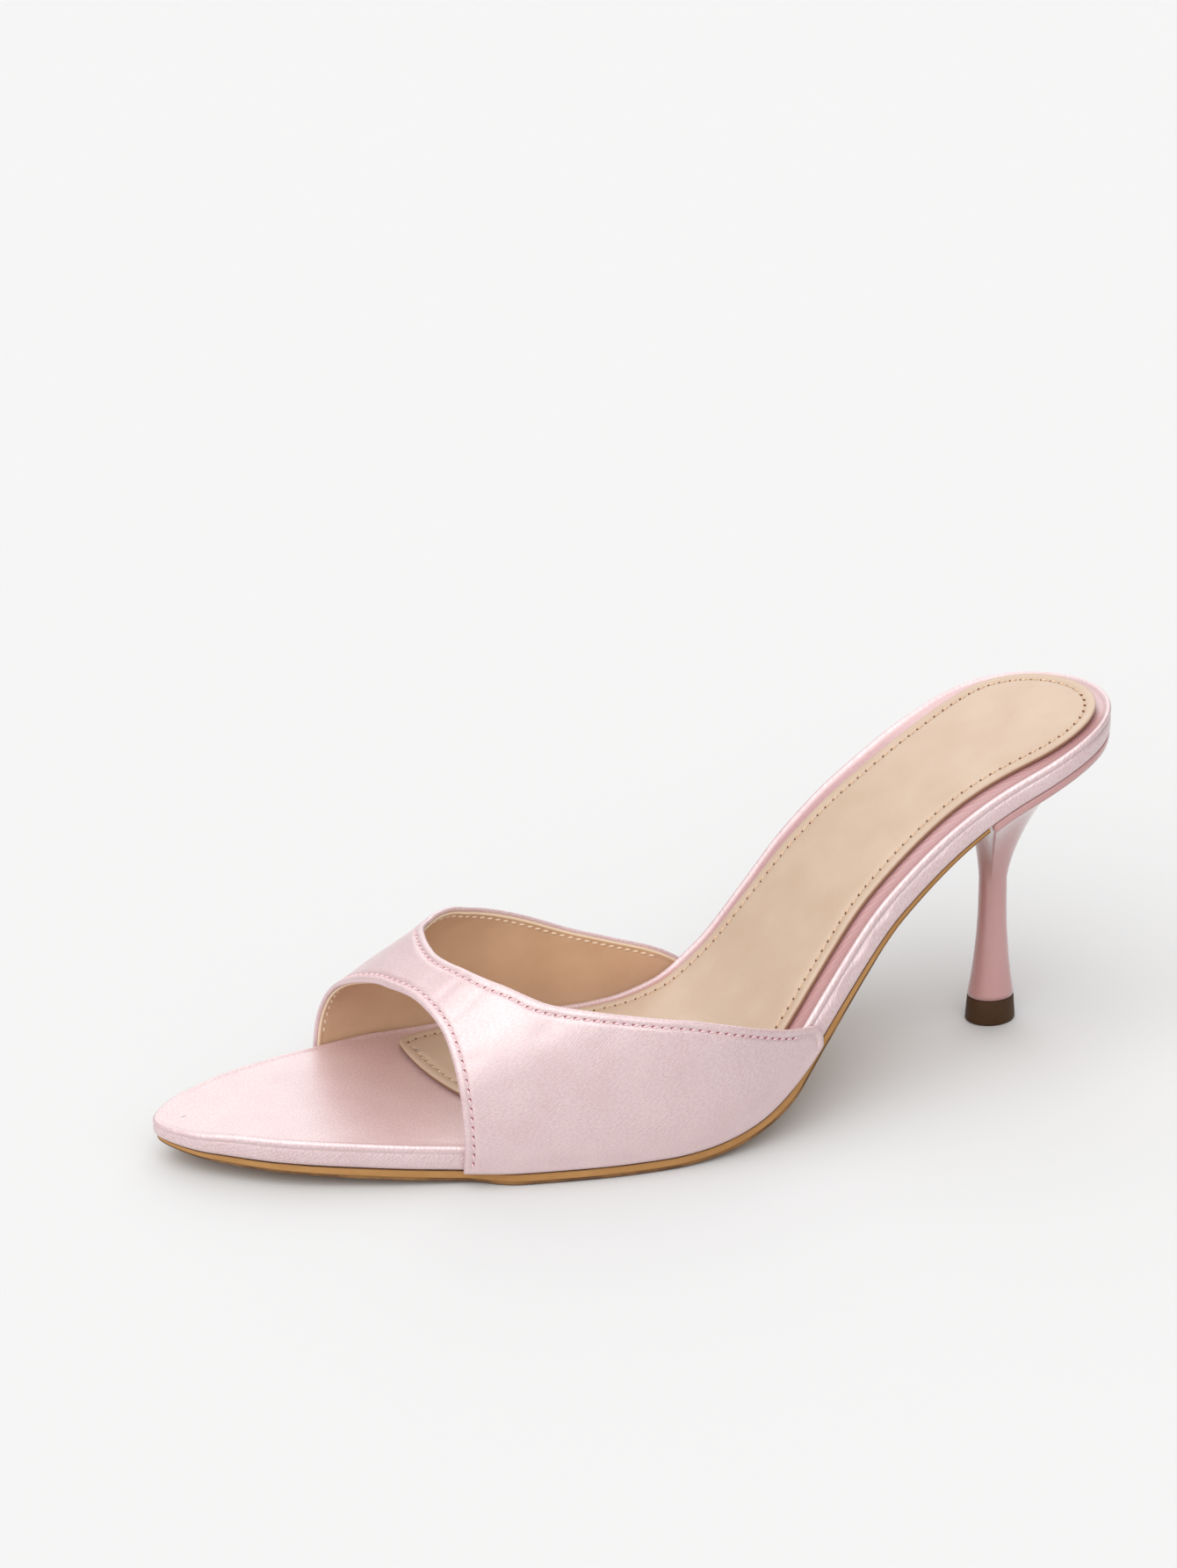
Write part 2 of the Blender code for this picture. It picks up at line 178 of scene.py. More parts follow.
# The footbed. A stiff insole board and shank cover, wrapped in pale pink satin that is glued round its edge:
# the cloth makes a small round bead along the rim, a crease under it and fine gathers down the side.
LENGTH = 0.232
BALL_WIDTH = 0.0684
SEAT_RISE = 0.0735
TOE_SPRING = 0.0035
WAIST_CANT = 0.007
HEEL_END = 0.0255
TOE_END = 0.0095
SOLE_THICKNESS = 0.003
CLEARANCE = 0.0003
BED_THICKNESS = 0.0059
SEAT_SHARE = 0.16
SLOPE_STEP = 0.005
EDGE_STEP = LENGTH / 600
LEAST_LEAN = 0.4
SEWN_GAP = 0.000003
HEEL_PLACE = 0.0262
HEEL_SHIFT = 0.0014
OUTLINE = (
    # along, outer, inner, as shares of the length and of the width
    (0.00, 0.400, 0.305),
    (0.11, 0.343, 0.343),
    (0.19, 0.322, 0.324),
    (0.27, 0.353, 0.338),
    (0.32, 0.413, 0.346),
    (0.37, 0.493, 0.342),
    (0.42, 0.574, 0.342),
    (0.47, 0.628, 0.345),
    (0.52, 0.644, 0.354),
    (0.57, 0.634, 0.371),
    (0.66, 0.581, 0.397),
    (0.74, 0.509, 0.382),
    (0.82, 0.429, 0.316),
    (0.90, 0.318, 0.234),
    (0.96, 0.177, 0.160),
    (1.00, 0.074, 0.126),
)
PROFILE = (
    # along, rise, spring, cant, bed thickness, sole thickness
    (0.00, 1.000, 0.00, 0.00, 1.00, 0.40),
    (0.05, 0.950, 0.00, 0.20, 1.00, 0.40),
    (0.10, 0.882, 0.00, 0.50, 1.00, 0.40),
    (0.15, 0.800, 0.00, 0.80, 1.00, 0.40),
    (0.20, 0.697, 0.00, 1.00, 1.00, 0.44),
    (0.25, 0.578, 0.00, 1.00, 1.00, 0.50),
    (0.30, 0.442, 0.00, 0.84, 1.00, 0.58),
    (0.35, 0.286, 0.00, 0.52, 1.00, 0.70),
    (0.40, 0.139, 0.00, 0.20, 1.00, 0.84),
    (0.45, 0.044, 0.00, 0.04, 1.00, 0.94),
    (0.50, 0.008, 0.00, 0.00, 1.00, 1.00),
    (0.54, 0.000, 0.00, 0.00, 1.00, 1.00),
    (0.68, 0.000, 0.00, 0.00, 1.00, 1.00),
    (0.76, 0.000, 0.28, 0.00, 1.00, 1.00),
    (0.84, 0.000, 0.66, 0.00, 1.00, 0.98),
    (0.92, 0.000, 0.92, 0.00, 0.96, 0.86),
    (1.00, 0.000, 1.00, 0.00, 0.58, 0.40),
)
BED_SECTION = (
    # inset, depth as a share of the thickness: from under the board, up its side and in over the rim
    (0.00700, 1.000),
    (0.00160, 1.000),
    (0.00070, 0.990),
    (0.00025, 0.940),
    (0.00005, 0.860),
    (0.00000, 0.740),
    (0.00000, 0.600),
    (0.00003, 0.480),
    (0.00010, 0.400),
    (0.00026, 0.340),
    (0.00046, 0.300),
    (0.00048, 0.275),
    (0.00024, 0.245),
    (0.00004, 0.200),
    (0.00000, 0.150),
    (0.00008, 0.080),
    (0.00030, 0.010),
    (0.00062, -0.020),
    (0.00095, -0.010),
    (0.00130, 0.025),
    (0.00170, 0.062),
    (0.00230, 0.085),
    (0.00320, 0.095),
    (0.00420, 0.085),
    (0.00520, 0.060),
    (0.00700, 0.040),
)
BED_SIDE_ROWS = (3, 12)
# rows of the groove round the sock, where the satin takes a painted shade of deeper rose
BED_PAINTED_SHADE_ROWS = (20, 24)
# where the raised toe border and the groove's painted shade fade in and out, along the shoe
BED_GROOVE_END = 0.62
BED_GROOVE_FADE = 0.2
BED_GROOVE_INSET = 0.0015
BED_TOE_LEVEL = 0.05
BED_CREASE = (0.19, 0.45)
BED_CREASE_FADE = 0.6
BED_KINKS = (
    # along, half length, how far in the crease is pulled: puckers in the wrap on the waist's outer side
    (0.352, 0.006, 0.00022),
    (0.332, 0.005, -0.00020),
    (0.313, 0.007, 0.00034),
    (0.281, 0.008, 0.00030),
    (0.262, 0.006, -0.00014),
    (0.215, 0.010, 0.00016),
)
BED_STATIONS = 260
BED_ACROSS = 10
SATIN_PALE = (0.630, 0.450, 0.458, 1)
SATIN_DEEP = (0.500, 0.300, 0.312, 1)
# painted shade: the deeper rose that the satin takes in the groove round the sock
SATIN_PAINTED_GROOVE_SHADE = (0.470, 0.225, 0.232, 1)
SATIN_THREADS = 2600.0
SATIN_TWILL = 0.6
CLOUD_SHARE = 0.25
SATIN_SHADES = (0.48, 0.78)
SATIN_ROUGH = (0.46, 0.34)
WEAVE_RELIEF = 0.00012
GATHER_RELIEF = 0.0002


def curve(table, column):
    """A smooth line through one column of a table, which never swings past its rows."""
    xs = [row[0] for row in table]
    ys = [row[column] for row in table]
    steps = [b - a for a, b in zip(xs, xs[1:])]
    slopes = [(b - a) / step for a, b, step in zip(ys, ys[1:], steps)]
    tangents = [slopes[0]]
    for left, right, before, after in zip(slopes, slopes[1:], steps, steps[1:]):
        if left * right <= 0:
            tangents.append(0.0)
            continue
        near = 2 * after + before
        far = after + 2 * before
        tangents.append((near + far) / (near / left + far / right))
    tangents.append(slopes[-1])

    def at(x):
        x = min(max(x, xs[0]), xs[-1])
        k = min(bisect.bisect_right(xs, x), len(steps)) - 1
        t = (x - xs[k]) / steps[k]
        start = (1 + 2 * t) * (1 - t) ** 2 * ys[k] + t * (1 - t) ** 2 * steps[k] * tangents[k]
        end = t * t * (3 - 2 * t) * ys[k + 1] - t * t * (1 - t) * steps[k] * tangents[k + 1]
        return start + end

    return at


def eased(t):
    """0 to 1 with a soft start and end."""
    t = min(max(t, 0), 1)
    return t * t * (3 - 2 * t)


outer_share, inner_share = curve(OUTLINE, 1), curve(OUTLINE, 2)
rise_share, spring_share, cant_share = curve(PROFILE, 1), curve(PROFILE, 2), curve(PROFILE, 3)
bed_share, sole_share = curve(PROFILE, 4), curve(PROFILE, 5)


def side(x, sign):
    """Y of the footbed's outer (sign 1) or inner (-1) edge at x, its two ends rounded."""
    outer, inner = BALL_WIDTH * outer_share(x / LENGTH), BALL_WIDTH * inner_share(x / LENGTH)
    back = min(max(x / HEEL_END, 0), 1)
    front = min(max((LENGTH - x) / TOE_END, 0), 1)
    opened = math.sqrt(1 - (1 - back) ** 2) * math.sqrt(1 - (1 - front) ** 2)
    return (outer - inner) / 2 + sign * (outer + inner) / 2 * opened


def bed_top(x, y):
    """Height of the footbed's top over the floor."""
    share = x / LENGTH
    outer, inner = BALL_WIDTH * outer_share(share), BALL_WIDTH * inner_share(share)
    across = (outer - y) / (outer + inner)
    base = SOLE_THICKNESS + CLEARANCE + BED_THICKNESS * bed_share(share)
    rise = SEAT_RISE * rise_share(share) + TOE_SPRING * spring_share(share)
    return base + rise + WAIST_CANT * cant_share(share) * across


def down(x):
    """The way the layers are stacked: straight down at the heel seat and forefoot, square to the waist."""
    share = x / LENGTH
    drop = rise_share(share + SLOPE_STEP) - rise_share(share - SLOPE_STEP)
    slope = SEAT_RISE * drop / (2 * SLOPE_STEP * LENGTH)
    angle = math.atan(slope) * eased(share / SEAT_SHARE - 0.5)
    return Vector((math.sin(angle), 0, -math.cos(angle)))


def on_bed(x, y, depth):
    """The point that lies depth under the footbed's top at x, y, or over it where depth is negative."""
    return Vector((x, y, bed_top(x, y))) + down(x) * depth


def stations(start, end, count):
    """Places along the shoe from start to end, crowded towards both."""
    turns = [math.pi * i / count for i in range(count + 1)]
    return [start + (end - start) * (1 - math.cos(turn)) / 2 for turn in turns]


def edge_point(x, sign, inset):
    """A point of the footbed's edge in plan at x, moved inwards by inset."""
    a, b = max(x - EDGE_STEP, 0), min(x + EDGE_STEP, LENGTH)
    inwards = Vector((side(b, sign) - side(a, sign), a - b)).normalized() * sign
    if x <= 0 or x >= LENGTH:
        inwards = Vector((1 if x <= 0 else -1, 0))
    return Vector((x, side(x, sign))) + inwards * inset


def inward_way(x, sign):
    """The way into the footbed, square to its edge in plan."""
    return (edge_point(x, sign, 0.001) - edge_point(x, sign, 0)).normalized()


def spine_point(x, back, front, middle):
    """The place on a piece's middle line that the insets from x draw in to, so that they never cross."""
    x = min(max(x, back), front)
    return Vector((x, middle(x)))


def drawn_in(edge, inwards, spine, inset):
    """A point of an edge moved inwards by inset, towards the piece's middle line."""
    towards = spine - edge
    room = towards.length
    reach = inset / max(towards.normalized().dot(inwards), LEAST_LEAN)
    return edge + towards.normalized() * room * math.tanh(reach / room)


def bed_middle(x):
    """Y of the footbed's middle line."""
    return (side(x, 1) + side(x, -1)) / 2


tip_low, tip_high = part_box("heel_tip")
shoe_place = Vector(((tip_low[0] + tip_high[0]) / 2 - HEEL_PLACE, (tip_low[1] + tip_high[1]) / 2 - HEEL_SHIFT, 0))


def running_length(points):
    """How far along a line each of its points lies."""
    lengths = [0.0]
    for a, b in zip(points, points[1:]):
        lengths.append(lengths[-1] + (b - a).length)
    return lengths


def skin(name, rings, trim=lambda row, column: 0.0, edge_rows=(), lie=None):
    """Lays a grid over rings of points, sews the edges that meet, and puts it in the scene as one piece.

    Its UV map is in metres of cloth, or where lie(column, point) says. trim(row, column) is kept for the
    material, and the faces of edge_rows take the piece's second material.
    """
    rows, columns = len(rings) - 1, len(rings[0]) - 1
    along = [running_length(ring) for ring in rings]
    across_rows = running_length([ring[columns // 2] for ring in rings])
    mesh = bmesh.new()
    cloth = mesh.loops.layers.uv.new("cloth")
    trimmed = mesh.verts.layers.float.new("trim")
    bmesh.ops.create_grid(mesh, x_segments=columns, y_segments=rows, size=0.5)
    for face in mesh.faces:
        face.material_index = int(int((face.calc_center_median().y + 0.5) * rows) in edge_rows)
    for vert in mesh.verts:
        column, row = round((vert.co.x + 0.5) * columns), round((vert.co.y + 0.5) * rows)
        vert.co = rings[row][column] + shoe_place
        vert[trimmed] = trim(row, column)
        for loop in vert.link_loops:
            loop[cloth].uv = lie(column, rings[row][column]) if lie else (along[row][column], across_rows[row])
    bmesh.ops.remove_doubles(mesh, verts=mesh.verts, dist=SEWN_GAP)
    bmesh.ops.recalc_face_normals(mesh, faces=mesh.faces)
    return put(name, mesh)


def put(name, mesh):
    """Puts a bmesh in the scene as one smooth piece on the shoe."""
    data = bpy.data.meshes.new(name)
    mesh.to_mesh(data)
    mesh.free()
    data.shade_smooth()
    piece = bpy.data.objects.new(name, data)
    bpy.context.scene.collection.objects.link(piece)
    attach(piece, "root")
    return piece


def effect_group(name, inputs, outputs):
    """An empty shader node group, its inputs with their first values and its outputs."""
    tree = bpy.data.node_groups.new(name, "ShaderNodeTree")
    for socket, kind, value in inputs:
        made = tree.interface.new_socket(socket, in_out="INPUT", socket_type="NodeSocket" + kind)
        if value is not None:
            made.default_value = value
    for socket, kind in outputs:
        tree.interface.new_socket(socket, in_out="OUTPUT", socket_type="NodeSocket" + kind)
    return tree, tree.nodes.new("NodeGroupInput"), tree.nodes.new("NodeGroupOutput")


def use_group(tree, group, inputs):
    """Places a node group in a material."""
    placed = tree.nodes.new("ShaderNodeGroup")
    placed.node_tree = group
    return feed(tree, placed, inputs)


# Satin's fine speckled grain: short glossy floats of thread on a fine diagonal twill
satin_weave, satin_in, satin_out = effect_group(
    "satin_weave",
    (("Vector", "Vector", None), ("Threads", "Float", 2600.0), ("Twill", "Float", 0.3)),
    (("Shade", "Float"), ("Height", "Float")),
)
floats_lie = add(satin_weave, "Mapping", {
    "Vector": satin_in.outputs["Vector"], "Rotation": (0, 0, 0.6), "Scale": (1, 0.5, 1),
})
floats = speckle(satin_weave, floats_lie.outputs["Vector"], satin_in.outputs["Threads"], roughness=0.65)
twill = add(satin_weave, "TexWave", {
    "Vector": satin_in.outputs["Vector"], "Scale": 720.0, "Distortion": 3.0, "Detail": 2.0, "Detail Scale": 1.5,
}, bands_direction="DIAGONAL")
clouds = speckle(satin_weave, satin_in.outputs["Vector"], 110.0, 3.0)
twill_part = sum_of(satin_weave, twill.outputs["Fac"], satin_in.outputs["Twill"], "MULTIPLY")
cloud_part = sum_of(satin_weave, clouds, CLOUD_SHARE, "MULTIPLY")
feed(satin_weave, satin_out, {
    "Shade": sum_of(satin_weave, floats, cloud_part), "Height": sum_of(satin_weave, floats, twill_part),
})

# Fine gathers, where the cloth is drawn round an edge
satin_ribs, ribs_in, ribs_out = effect_group(
    "satin_ribs", (("Vector", "Vector", None), ("Trim", "Float", 0.0)), (("Shade", "Float"), ("Height", "Float")),
)
ribs_lie = add(satin_ribs, "Mapping", {"Vector": ribs_in.outputs["Vector"], "Scale": (1, 0.06, 1)})
ribs = speckle(satin_ribs, ribs_lie.outputs["Vector"], 1500.0, 1.0)
rib_part = sum_of(satin_ribs, ribs, ribs_in.outputs["Trim"], "MULTIPLY")
feed(satin_ribs, ribs_out, {"Shade": rib_part, "Height": rib_part})


def satin(name):
    """Pink satin: glossy floats of thread over a pink ground, gathered where the piece is trimmed, with a painted
    shade of deeper rose where the trim falls below nought.
    """
    material, tree, shader = plain_material(name)
    where = add(tree, "UVMap", uv_map="cloth")
    trim = add(tree, "Attribute", attribute_name="trim")
    weave = use_group(tree, satin_weave, {
        "Vector": where.outputs["UV"], "Threads": SATIN_THREADS, "Twill": SATIN_TWILL,
    })
    gathers = use_group(tree, satin_ribs, {"Vector": where.outputs["UV"], "Trim": trim.outputs["Fac"]})
    shade = weave.outputs["Shade"]
    cloth = blend(tree, spread_out(tree, shade, *SATIN_SHADES), SATIN_DEEP, SATIN_PALE)
    # painted shade: the trim, from nought to -1, mixes the satin towards a deeper rose in the groove round the sock
    groove = spread_out(tree, trim.outputs["Fac"], 0.0, -1.0)
    woven = relief_of(tree, weave.outputs["Height"], 0.6, WEAVE_RELIEF)
    feed(tree, shader, {
        "Base Color": blend(tree, groove, cloth, SATIN_PAINTED_GROOVE_SHADE),
        "Roughness": spread_out(tree, shade, 0.4, 0.9, *SATIN_ROUGH),
        "Normal": relief_of(tree, gathers.outputs["Height"], 0.5, GATHER_RELIEF, woven),
        "Metallic": 0.05,
        "IOR": 1.9,
        "Coat Weight": 1.0,
        "Coat IOR": 2.35,
        "Coat Roughness": 0.4,
        "Sheen Weight": 0.12,
        "Sheen Roughness": 0.35,
    })
    return material


def bed_depth(x, share):
    """Depth of a share of the footbed's thickness at x."""
    return BED_THICKNESS * bed_share(x / LENGTH) * share


BED_SPINE = (0.026, 0.214)
bed_xs = stations(0, LENGTH, BED_STATIONS)


def bed_kink(x):
    """How far the crease under the rim's bead is pulled in at x by the puckers in the wrap."""
    return sum(pull * math.exp(-((x / LENGTH - along) / reach) ** 2) for along, reach, pull in BED_KINKS)


def bed_line(sign, inset, share):
    """One line along the footbed, at an inset from its edge and a depth that is a share of its thickness."""
    line = []
    crease = BED_CREASE[0] < share < BED_CREASE[1]
    for x in bed_xs:
        spine = spine_point(x, *BED_SPINE, bed_middle)
        flatter = 1 - BED_CREASE_FADE * eased(x / LENGTH / 0.2 - 2) if crease else 1
        pulled = bed_kink(x) if crease and sign > 0 else 0
        level = share
        if inset > BED_GROOVE_INSET and share < BED_CREASE[0]:
            level += (BED_TOE_LEVEL - share) * eased((x / LENGTH - BED_GROOVE_END) / BED_GROOVE_FADE)
        point = drawn_in(edge_point(x, sign, 0), inward_way(x, sign), spine, max(inset * flatter + pulled, 0))
        line.append(on_bed(point.x, point.y, bed_depth(point.x, level) + pulled))
    return line


def across(outer_line, inner_line):
    """Lines laid across a piece between two of its edges."""
    lines = []
    for i in range(1, BED_ACROSS):
        lines.append([a.lerp(b, i / BED_ACROSS) for a, b in zip(outer_line, inner_line)])
    return lines


def closed_rings(outer, inner):
    """The rings round a flat piece: up its outer edge, over its top, down its inner edge and back beneath."""
    return outer + across(outer[-1], inner[0]) + inner + across(inner[-1], outer[0]) + [outer[0]]


bed_rings = closed_rings(
    [bed_line(1, inset, share) for inset, share in BED_SECTION],
    [bed_line(-1, inset, share) for inset, share in reversed(BED_SECTION)],
)
inner_side_start = len(BED_SECTION) * 2 + BED_ACROSS - 2


def bed_trim(row, column):
    """1 down the footbed's sides, where the satin is gathered, and -1 in the groove round the sock, where the satin
    takes a painted shade of deeper rose.
    """
    k = min(row, inner_side_start - row)
    if BED_SIDE_ROWS[0] <= k <= BED_SIDE_ROWS[1]:
        return 1.0
    if BED_PAINTED_SHADE_ROWS[0] <= k <= BED_PAINTED_SHADE_ROWS[1]:
        # painted shade: the groove round the sock is darkened from the waist back, fading out towards the toe
        return -eased((BED_GROOVE_END - bed_xs[column] / LENGTH) / BED_GROOVE_FADE)
    return 0.0


footbed = skin("footbed_wrap", bed_rings, bed_trim, lie=lambda column, point: (point.x, point.y + point.z))
footbed.data.materials.append(satin("footbed_satin"))
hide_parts("footbed")

# The sock. A thin pad of tan synthetic leather over foam, cut a little smaller than the footbed, stitched
# round its edge and glued on, its front drawn to a point that shows through the toe opening.
SOCK_THICKNESS = 0.0012
SOCK_BORDER = 0.0052
SOCK_HEEL_BORDER = 0.0036
SOCK_HEEL = (0.006, 0.045)
SOCK_WAIST_BORDER = 0.0012
SOCK_TIP_ROUND = 0.5
SOCK_TIP = 0.169
SOCK_TIP_SHIFT = -0.017
SOCK_TAPER = 0.76
SOCK_OUTER_BEND = 2.5
SOCK_INNER_BEND = 7.0
SOCK_STITCH_INSET = 0.0025
SOCK_SECTION = (
    # inset, height as a share of the thickness
    (0.00500, -0.30),
    (0.00060, -0.30),
    (0.00025, -0.25),
    (0.00006, 0.10),
    (0.00000, 0.50),
    (0.00006, 0.78),
    (0.00028, 0.95),
    (0.00070, 1.00),
    (0.00130, 1.02),
    (0.00190, 0.92),
    (0.00230, 0.76),
    (0.00250, 0.72),
    (0.00270, 0.76),
    (0.00310, 0.94),
    (0.00380, 1.08),
    (0.00500, 1.14),
)
SOCK_SIDES = ((1, SOCK_OUTER_BEND), (-1, SOCK_INNER_BEND))
SOCK_STATIONS = 200
SOCK_SPINE = (52, 172)
SOCK_PALE = (0.510, 0.385, 0.290, 1)
SOCK_DEEP = (0.475, 0.345, 0.252, 1)
SOCK_CUT = (0.280, 0.145, 0.080, 1)
PORE_SHARE = 0.35
GRAIN_SHADES = (0.3, 0.7)
GRAIN_RELIEF = 0.00008


def sock_edge(x, sign, bend):
    """A point of the sock's edge in plan: the footbed's outline less its border, drawn to a point in front."""
    start = SOCK_TIP * SOCK_TAPER
    past_heel = eased((x - SOCK_HEEL[0]) / (SOCK_HEEL[1] - SOCK_HEEL[0]))
    border = SOCK_HEEL_BORDER + (SOCK_BORDER - SOCK_HEEL_BORDER) * past_heel
    round_heel = edge_point(x, sign, border)
    slope = (side(x + EDGE_STEP, sign) - side(x - EDGE_STEP, sign)) / (2 * EDGE_STEP)
    along_side = Vector((x, side(x, sign) - sign * border * math.hypot(1, min(abs(slope), 1))))
    point = round_heel.lerp(along_side, eased((x - SOCK_HEEL[1]) / SOCK_HEEL[1]))
    narrowed = (1 - min(max((point.x - start) / (SOCK_TIP - start), 0), 1) ** bend) ** SOCK_TIP_ROUND
    y = SOCK_TIP_SHIFT + (point.y - SOCK_TIP_SHIFT) * narrowed
    if sign < 0:
        y += SOCK_WAIST_BORDER * cant_share(x / LENGTH)
    return Vector((point.x, y))


def sock_line(sign, inset, height):
    """One line round the sock, at an inset from its edge and a share of its thickness up."""
    xs = stations(0, SOCK_TIP, SOCK_STATIONS)
    edges = [[sock_edge(x, way_out, bend) for x in xs] for way_out, bend in SOCK_SIDES]
    own = edges[0] if sign > 0 else edges[1]
    line = []
    for i, point in enumerate(own):
        before, after = own[max(i - 1, 0)], own[min(i + 1, SOCK_STATIONS)]
        inwards = Vector((after.y - before.y, before.x - after.x)).normalized() * sign
        k = min(max(i, SOCK_SPINE[0]), SOCK_SPINE[1])
        spine = (edges[0][k] + edges[1][k]) / 2
        drawn = drawn_in(point, inwards, spine, inset)
        line.append(on_bed(drawn.x, drawn.y, -CLEARANCE - SOCK_THICKNESS * height))
    return line


leather_grain, leather_in, leather_out = effect_group(
    "leather_grain",
    (("Vector", "Vector", None), ("Pebbles", "Float", 1400.0)),
    (("Shade", "Float"), ("Height", "Float")),
)
pebbles = add(leather_grain, "TexVoronoi", {
    "Vector": leather_in.outputs["Vector"], "Scale": leather_in.outputs["Pebbles"],
}, feature="SMOOTH_F1")
haze = speckle(leather_grain, leather_in.outputs["Vector"], 90.0, 4.0)
pores = speckle(leather_grain, leather_in.outputs["Vector"], 3200.0, 1.0)
pore_part = sum_of(leather_grain, pores, PORE_SHARE, "MULTIPLY")
feed(leather_grain, leather_out, {
    "Shade": haze, "Height": sum_of(leather_grain, pebbles.outputs["Distance"], pore_part),
})


def leather(name, pale, deep, roughness, pebbles_per_metre):
    """Smooth tan leather with a fine pebbled grain."""
    material, tree, shader = plain_material(name)
    where = add(tree, "TexCoord")
    grain = use_group(tree, leather_grain, {"Vector": where.outputs["Object"], "Pebbles": pebbles_per_metre})
    height = grain.outputs["Height"]
    feed(tree, shader, {
        "Base Color": blend(tree, spread_out(tree, grain.outputs["Shade"], *GRAIN_SHADES), deep, pale),
        "Roughness": spread_out(tree, height, 0.0, 0.8, roughness + 0.08, roughness - 0.06),
        "Normal": relief_of(tree, height, 0.4, GRAIN_RELIEF),
    })
    return material


sock_rings = closed_rings(
    [sock_line(1, inset, height) for inset, height in SOCK_SECTION],
    [sock_line(-1, inset, height) for inset, height in reversed(SOCK_SECTION)],
)
SOCK_CUT_ROWS = 4
sock_inner_start = len(SOCK_SECTION) * 2 + BED_ACROSS - 3
sock_cut = [*range(SOCK_CUT_ROWS)] + [sock_inner_start - row for row in range(SOCK_CUT_ROWS)]
sock = skin("sock_pad", sock_rings, edge_rows=sock_cut)
sock.data.materials.append(leather("sock_leather", SOCK_PALE, SOCK_DEEP, 0.42, 1500.0))
sock.data.materials.append(leather("sock_cut_edge", SOCK_CUT, SOCK_CUT, 0.6, 2500.0))
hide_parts("sock")

# The band's satin outside. One piece of pink satin over the forefoot, open at the toe and at the topline,
# its two long edges folded over and stitched, its sides pulled down over the footbed and glued under it.
WALL = 0.0017
INSTEP_HEIGHT = 0.0395
RIDGE_SHIFT = 0.004
OUTER_FULLNESS = 1.09
INNER_FULLNESS = 1.17
LAP_GIRTH = 0.25
ARCH = (
    # along, ridge
    (0.34, 1.95),
    (0.45, 1.63),
    (0.55, 1.30),
    (0.63, 1.13),
    (0.67, 1.04),
    (0.71, 0.87),
    (0.75, 0.71),
    (0.79, 0.56),
    (0.86, 0.43),
)
BAND = (
    # girth, front, back
    (-1.25, 0.734, 0.378),
    (-1.10, 0.733, 0.370),
    (-1.03, 0.732, 0.370),
    (-0.99, 0.732, 0.379),
    (-0.95, 0.732, 0.402),
    (-0.90, 0.732, 0.421),
    (-0.75, 0.732, 0.494),
    (-0.50, 0.734, 0.647),
    (-0.25, 0.745, 0.695),
    (0.00, 0.764, 0.714),
    (0.25, 0.783, 0.705),
    (0.50, 0.795, 0.654),
    (0.75, 0.803, 0.556),
    (0.90, 0.807, 0.474),
    (1.00, 0.809, 0.420),
    (1.25, 0.811, 0.412),
)
BAND_COLUMNS = 280
BAND_ROWS = 44
FOLD_MIDDLE = 0.00098
SATIN_EDGE = (
    # distance from the edge, how far out the satin's outside lies, and its inside
    (0.00000, 0.00098, 0.00098),
    (0.00012, 0.00128, 0.00066),
    (0.00036, 0.00150, 0.00046),
    (0.00070, 0.00164, 0.00040),
    (0.00110, 0.00170, 0.00040),
    (0.00150, 0.00166, 0.00040),
    (0.00180, 0.00150, 0.00040),
    (0.00205, 0.00138, 0.00040),
    (0.00230, 0.00150, 0.00040),
    (0.00265, 0.00168, 0.00040),
    (0.00330, 0.00175, 0.00040),
    (0.00420, 0.00170, 0.00040),
)
SEAM_START = 0.0012
SEAM_FADE = (1.14, 1.22)
LAP_ROUND = 0.0009
LAP_EASE = 17
LAP_EASE_PASSES = 40
AHEAD_STEP = 0.0004
GIRTH_STEP = 0.004
LEAST_PACE = 0.2
GIRTH_LENGTH = 0.075
CREASES = (
    # from along, girth, to along, girth, half width, height: soft folds laid in one by one as the satin pulls over
    # the foot
    (0.52, -0.66, 0.70, -0.56, 0.0120, 0.00030),
    (0.47, -0.90, 0.69, -0.86, 0.0080, -0.00030),
    (0.44, -0.93, 0.53, -0.77, 0.0045, 0.00022),
    (0.66, -0.50, 0.60, -0.80, 0.0050, -0.00020),
    (0.70, -0.30, 0.71, -0.70, 0.0070, 0.00016),
    (0.706, -0.14, 0.733, -0.15, 0.0018, -0.00012),
    (0.699, -0.25, 0.726, -0.28, 0.0018, -0.00014),
    (0.682, -0.36, 0.712, -0.40, 0.0020, -0.00016),
    (0.655, -0.46, 0.690, -0.52, 0.0022, -0.00016),
    (0.612, -0.54, 0.650, -0.62, 0.0024, -0.00018),
    (0.560, -0.63, 0.596, -0.71, 0.0024, -0.00016),
    (0.505, -0.72, 0.540, -0.80, 0.0024, -0.00014),
    (0.745, -0.40, 0.722, -0.41, 0.0018, -0.00012),
    (0.738, -0.60, 0.712, -0.62, 0.0020, -0.00014),
    (0.736, -0.80, 0.708, -0.83, 0.0022, -0.00014),
    (0.56, 0.62, 0.74, 0.56, 0.0120, 0.00025),
    (0.50, 0.88, 0.74, 0.86, 0.0080, -0.00025),
    (0.67, 0.45, 0.62, 0.78, 0.0050, -0.00018),
    (0.705, 0.14, 0.735, 0.15, 0.0018, -0.00012),
    (0.690, 0.34, 0.722, 0.38, 0.0020, -0.00014),
    (0.640, 0.52, 0.680, 0.60, 0.0024, -0.00016),
)

ridge_share, band_front, band_back = curve(ARCH, 1), curve(BAND, 1), curve(BAND, 2)


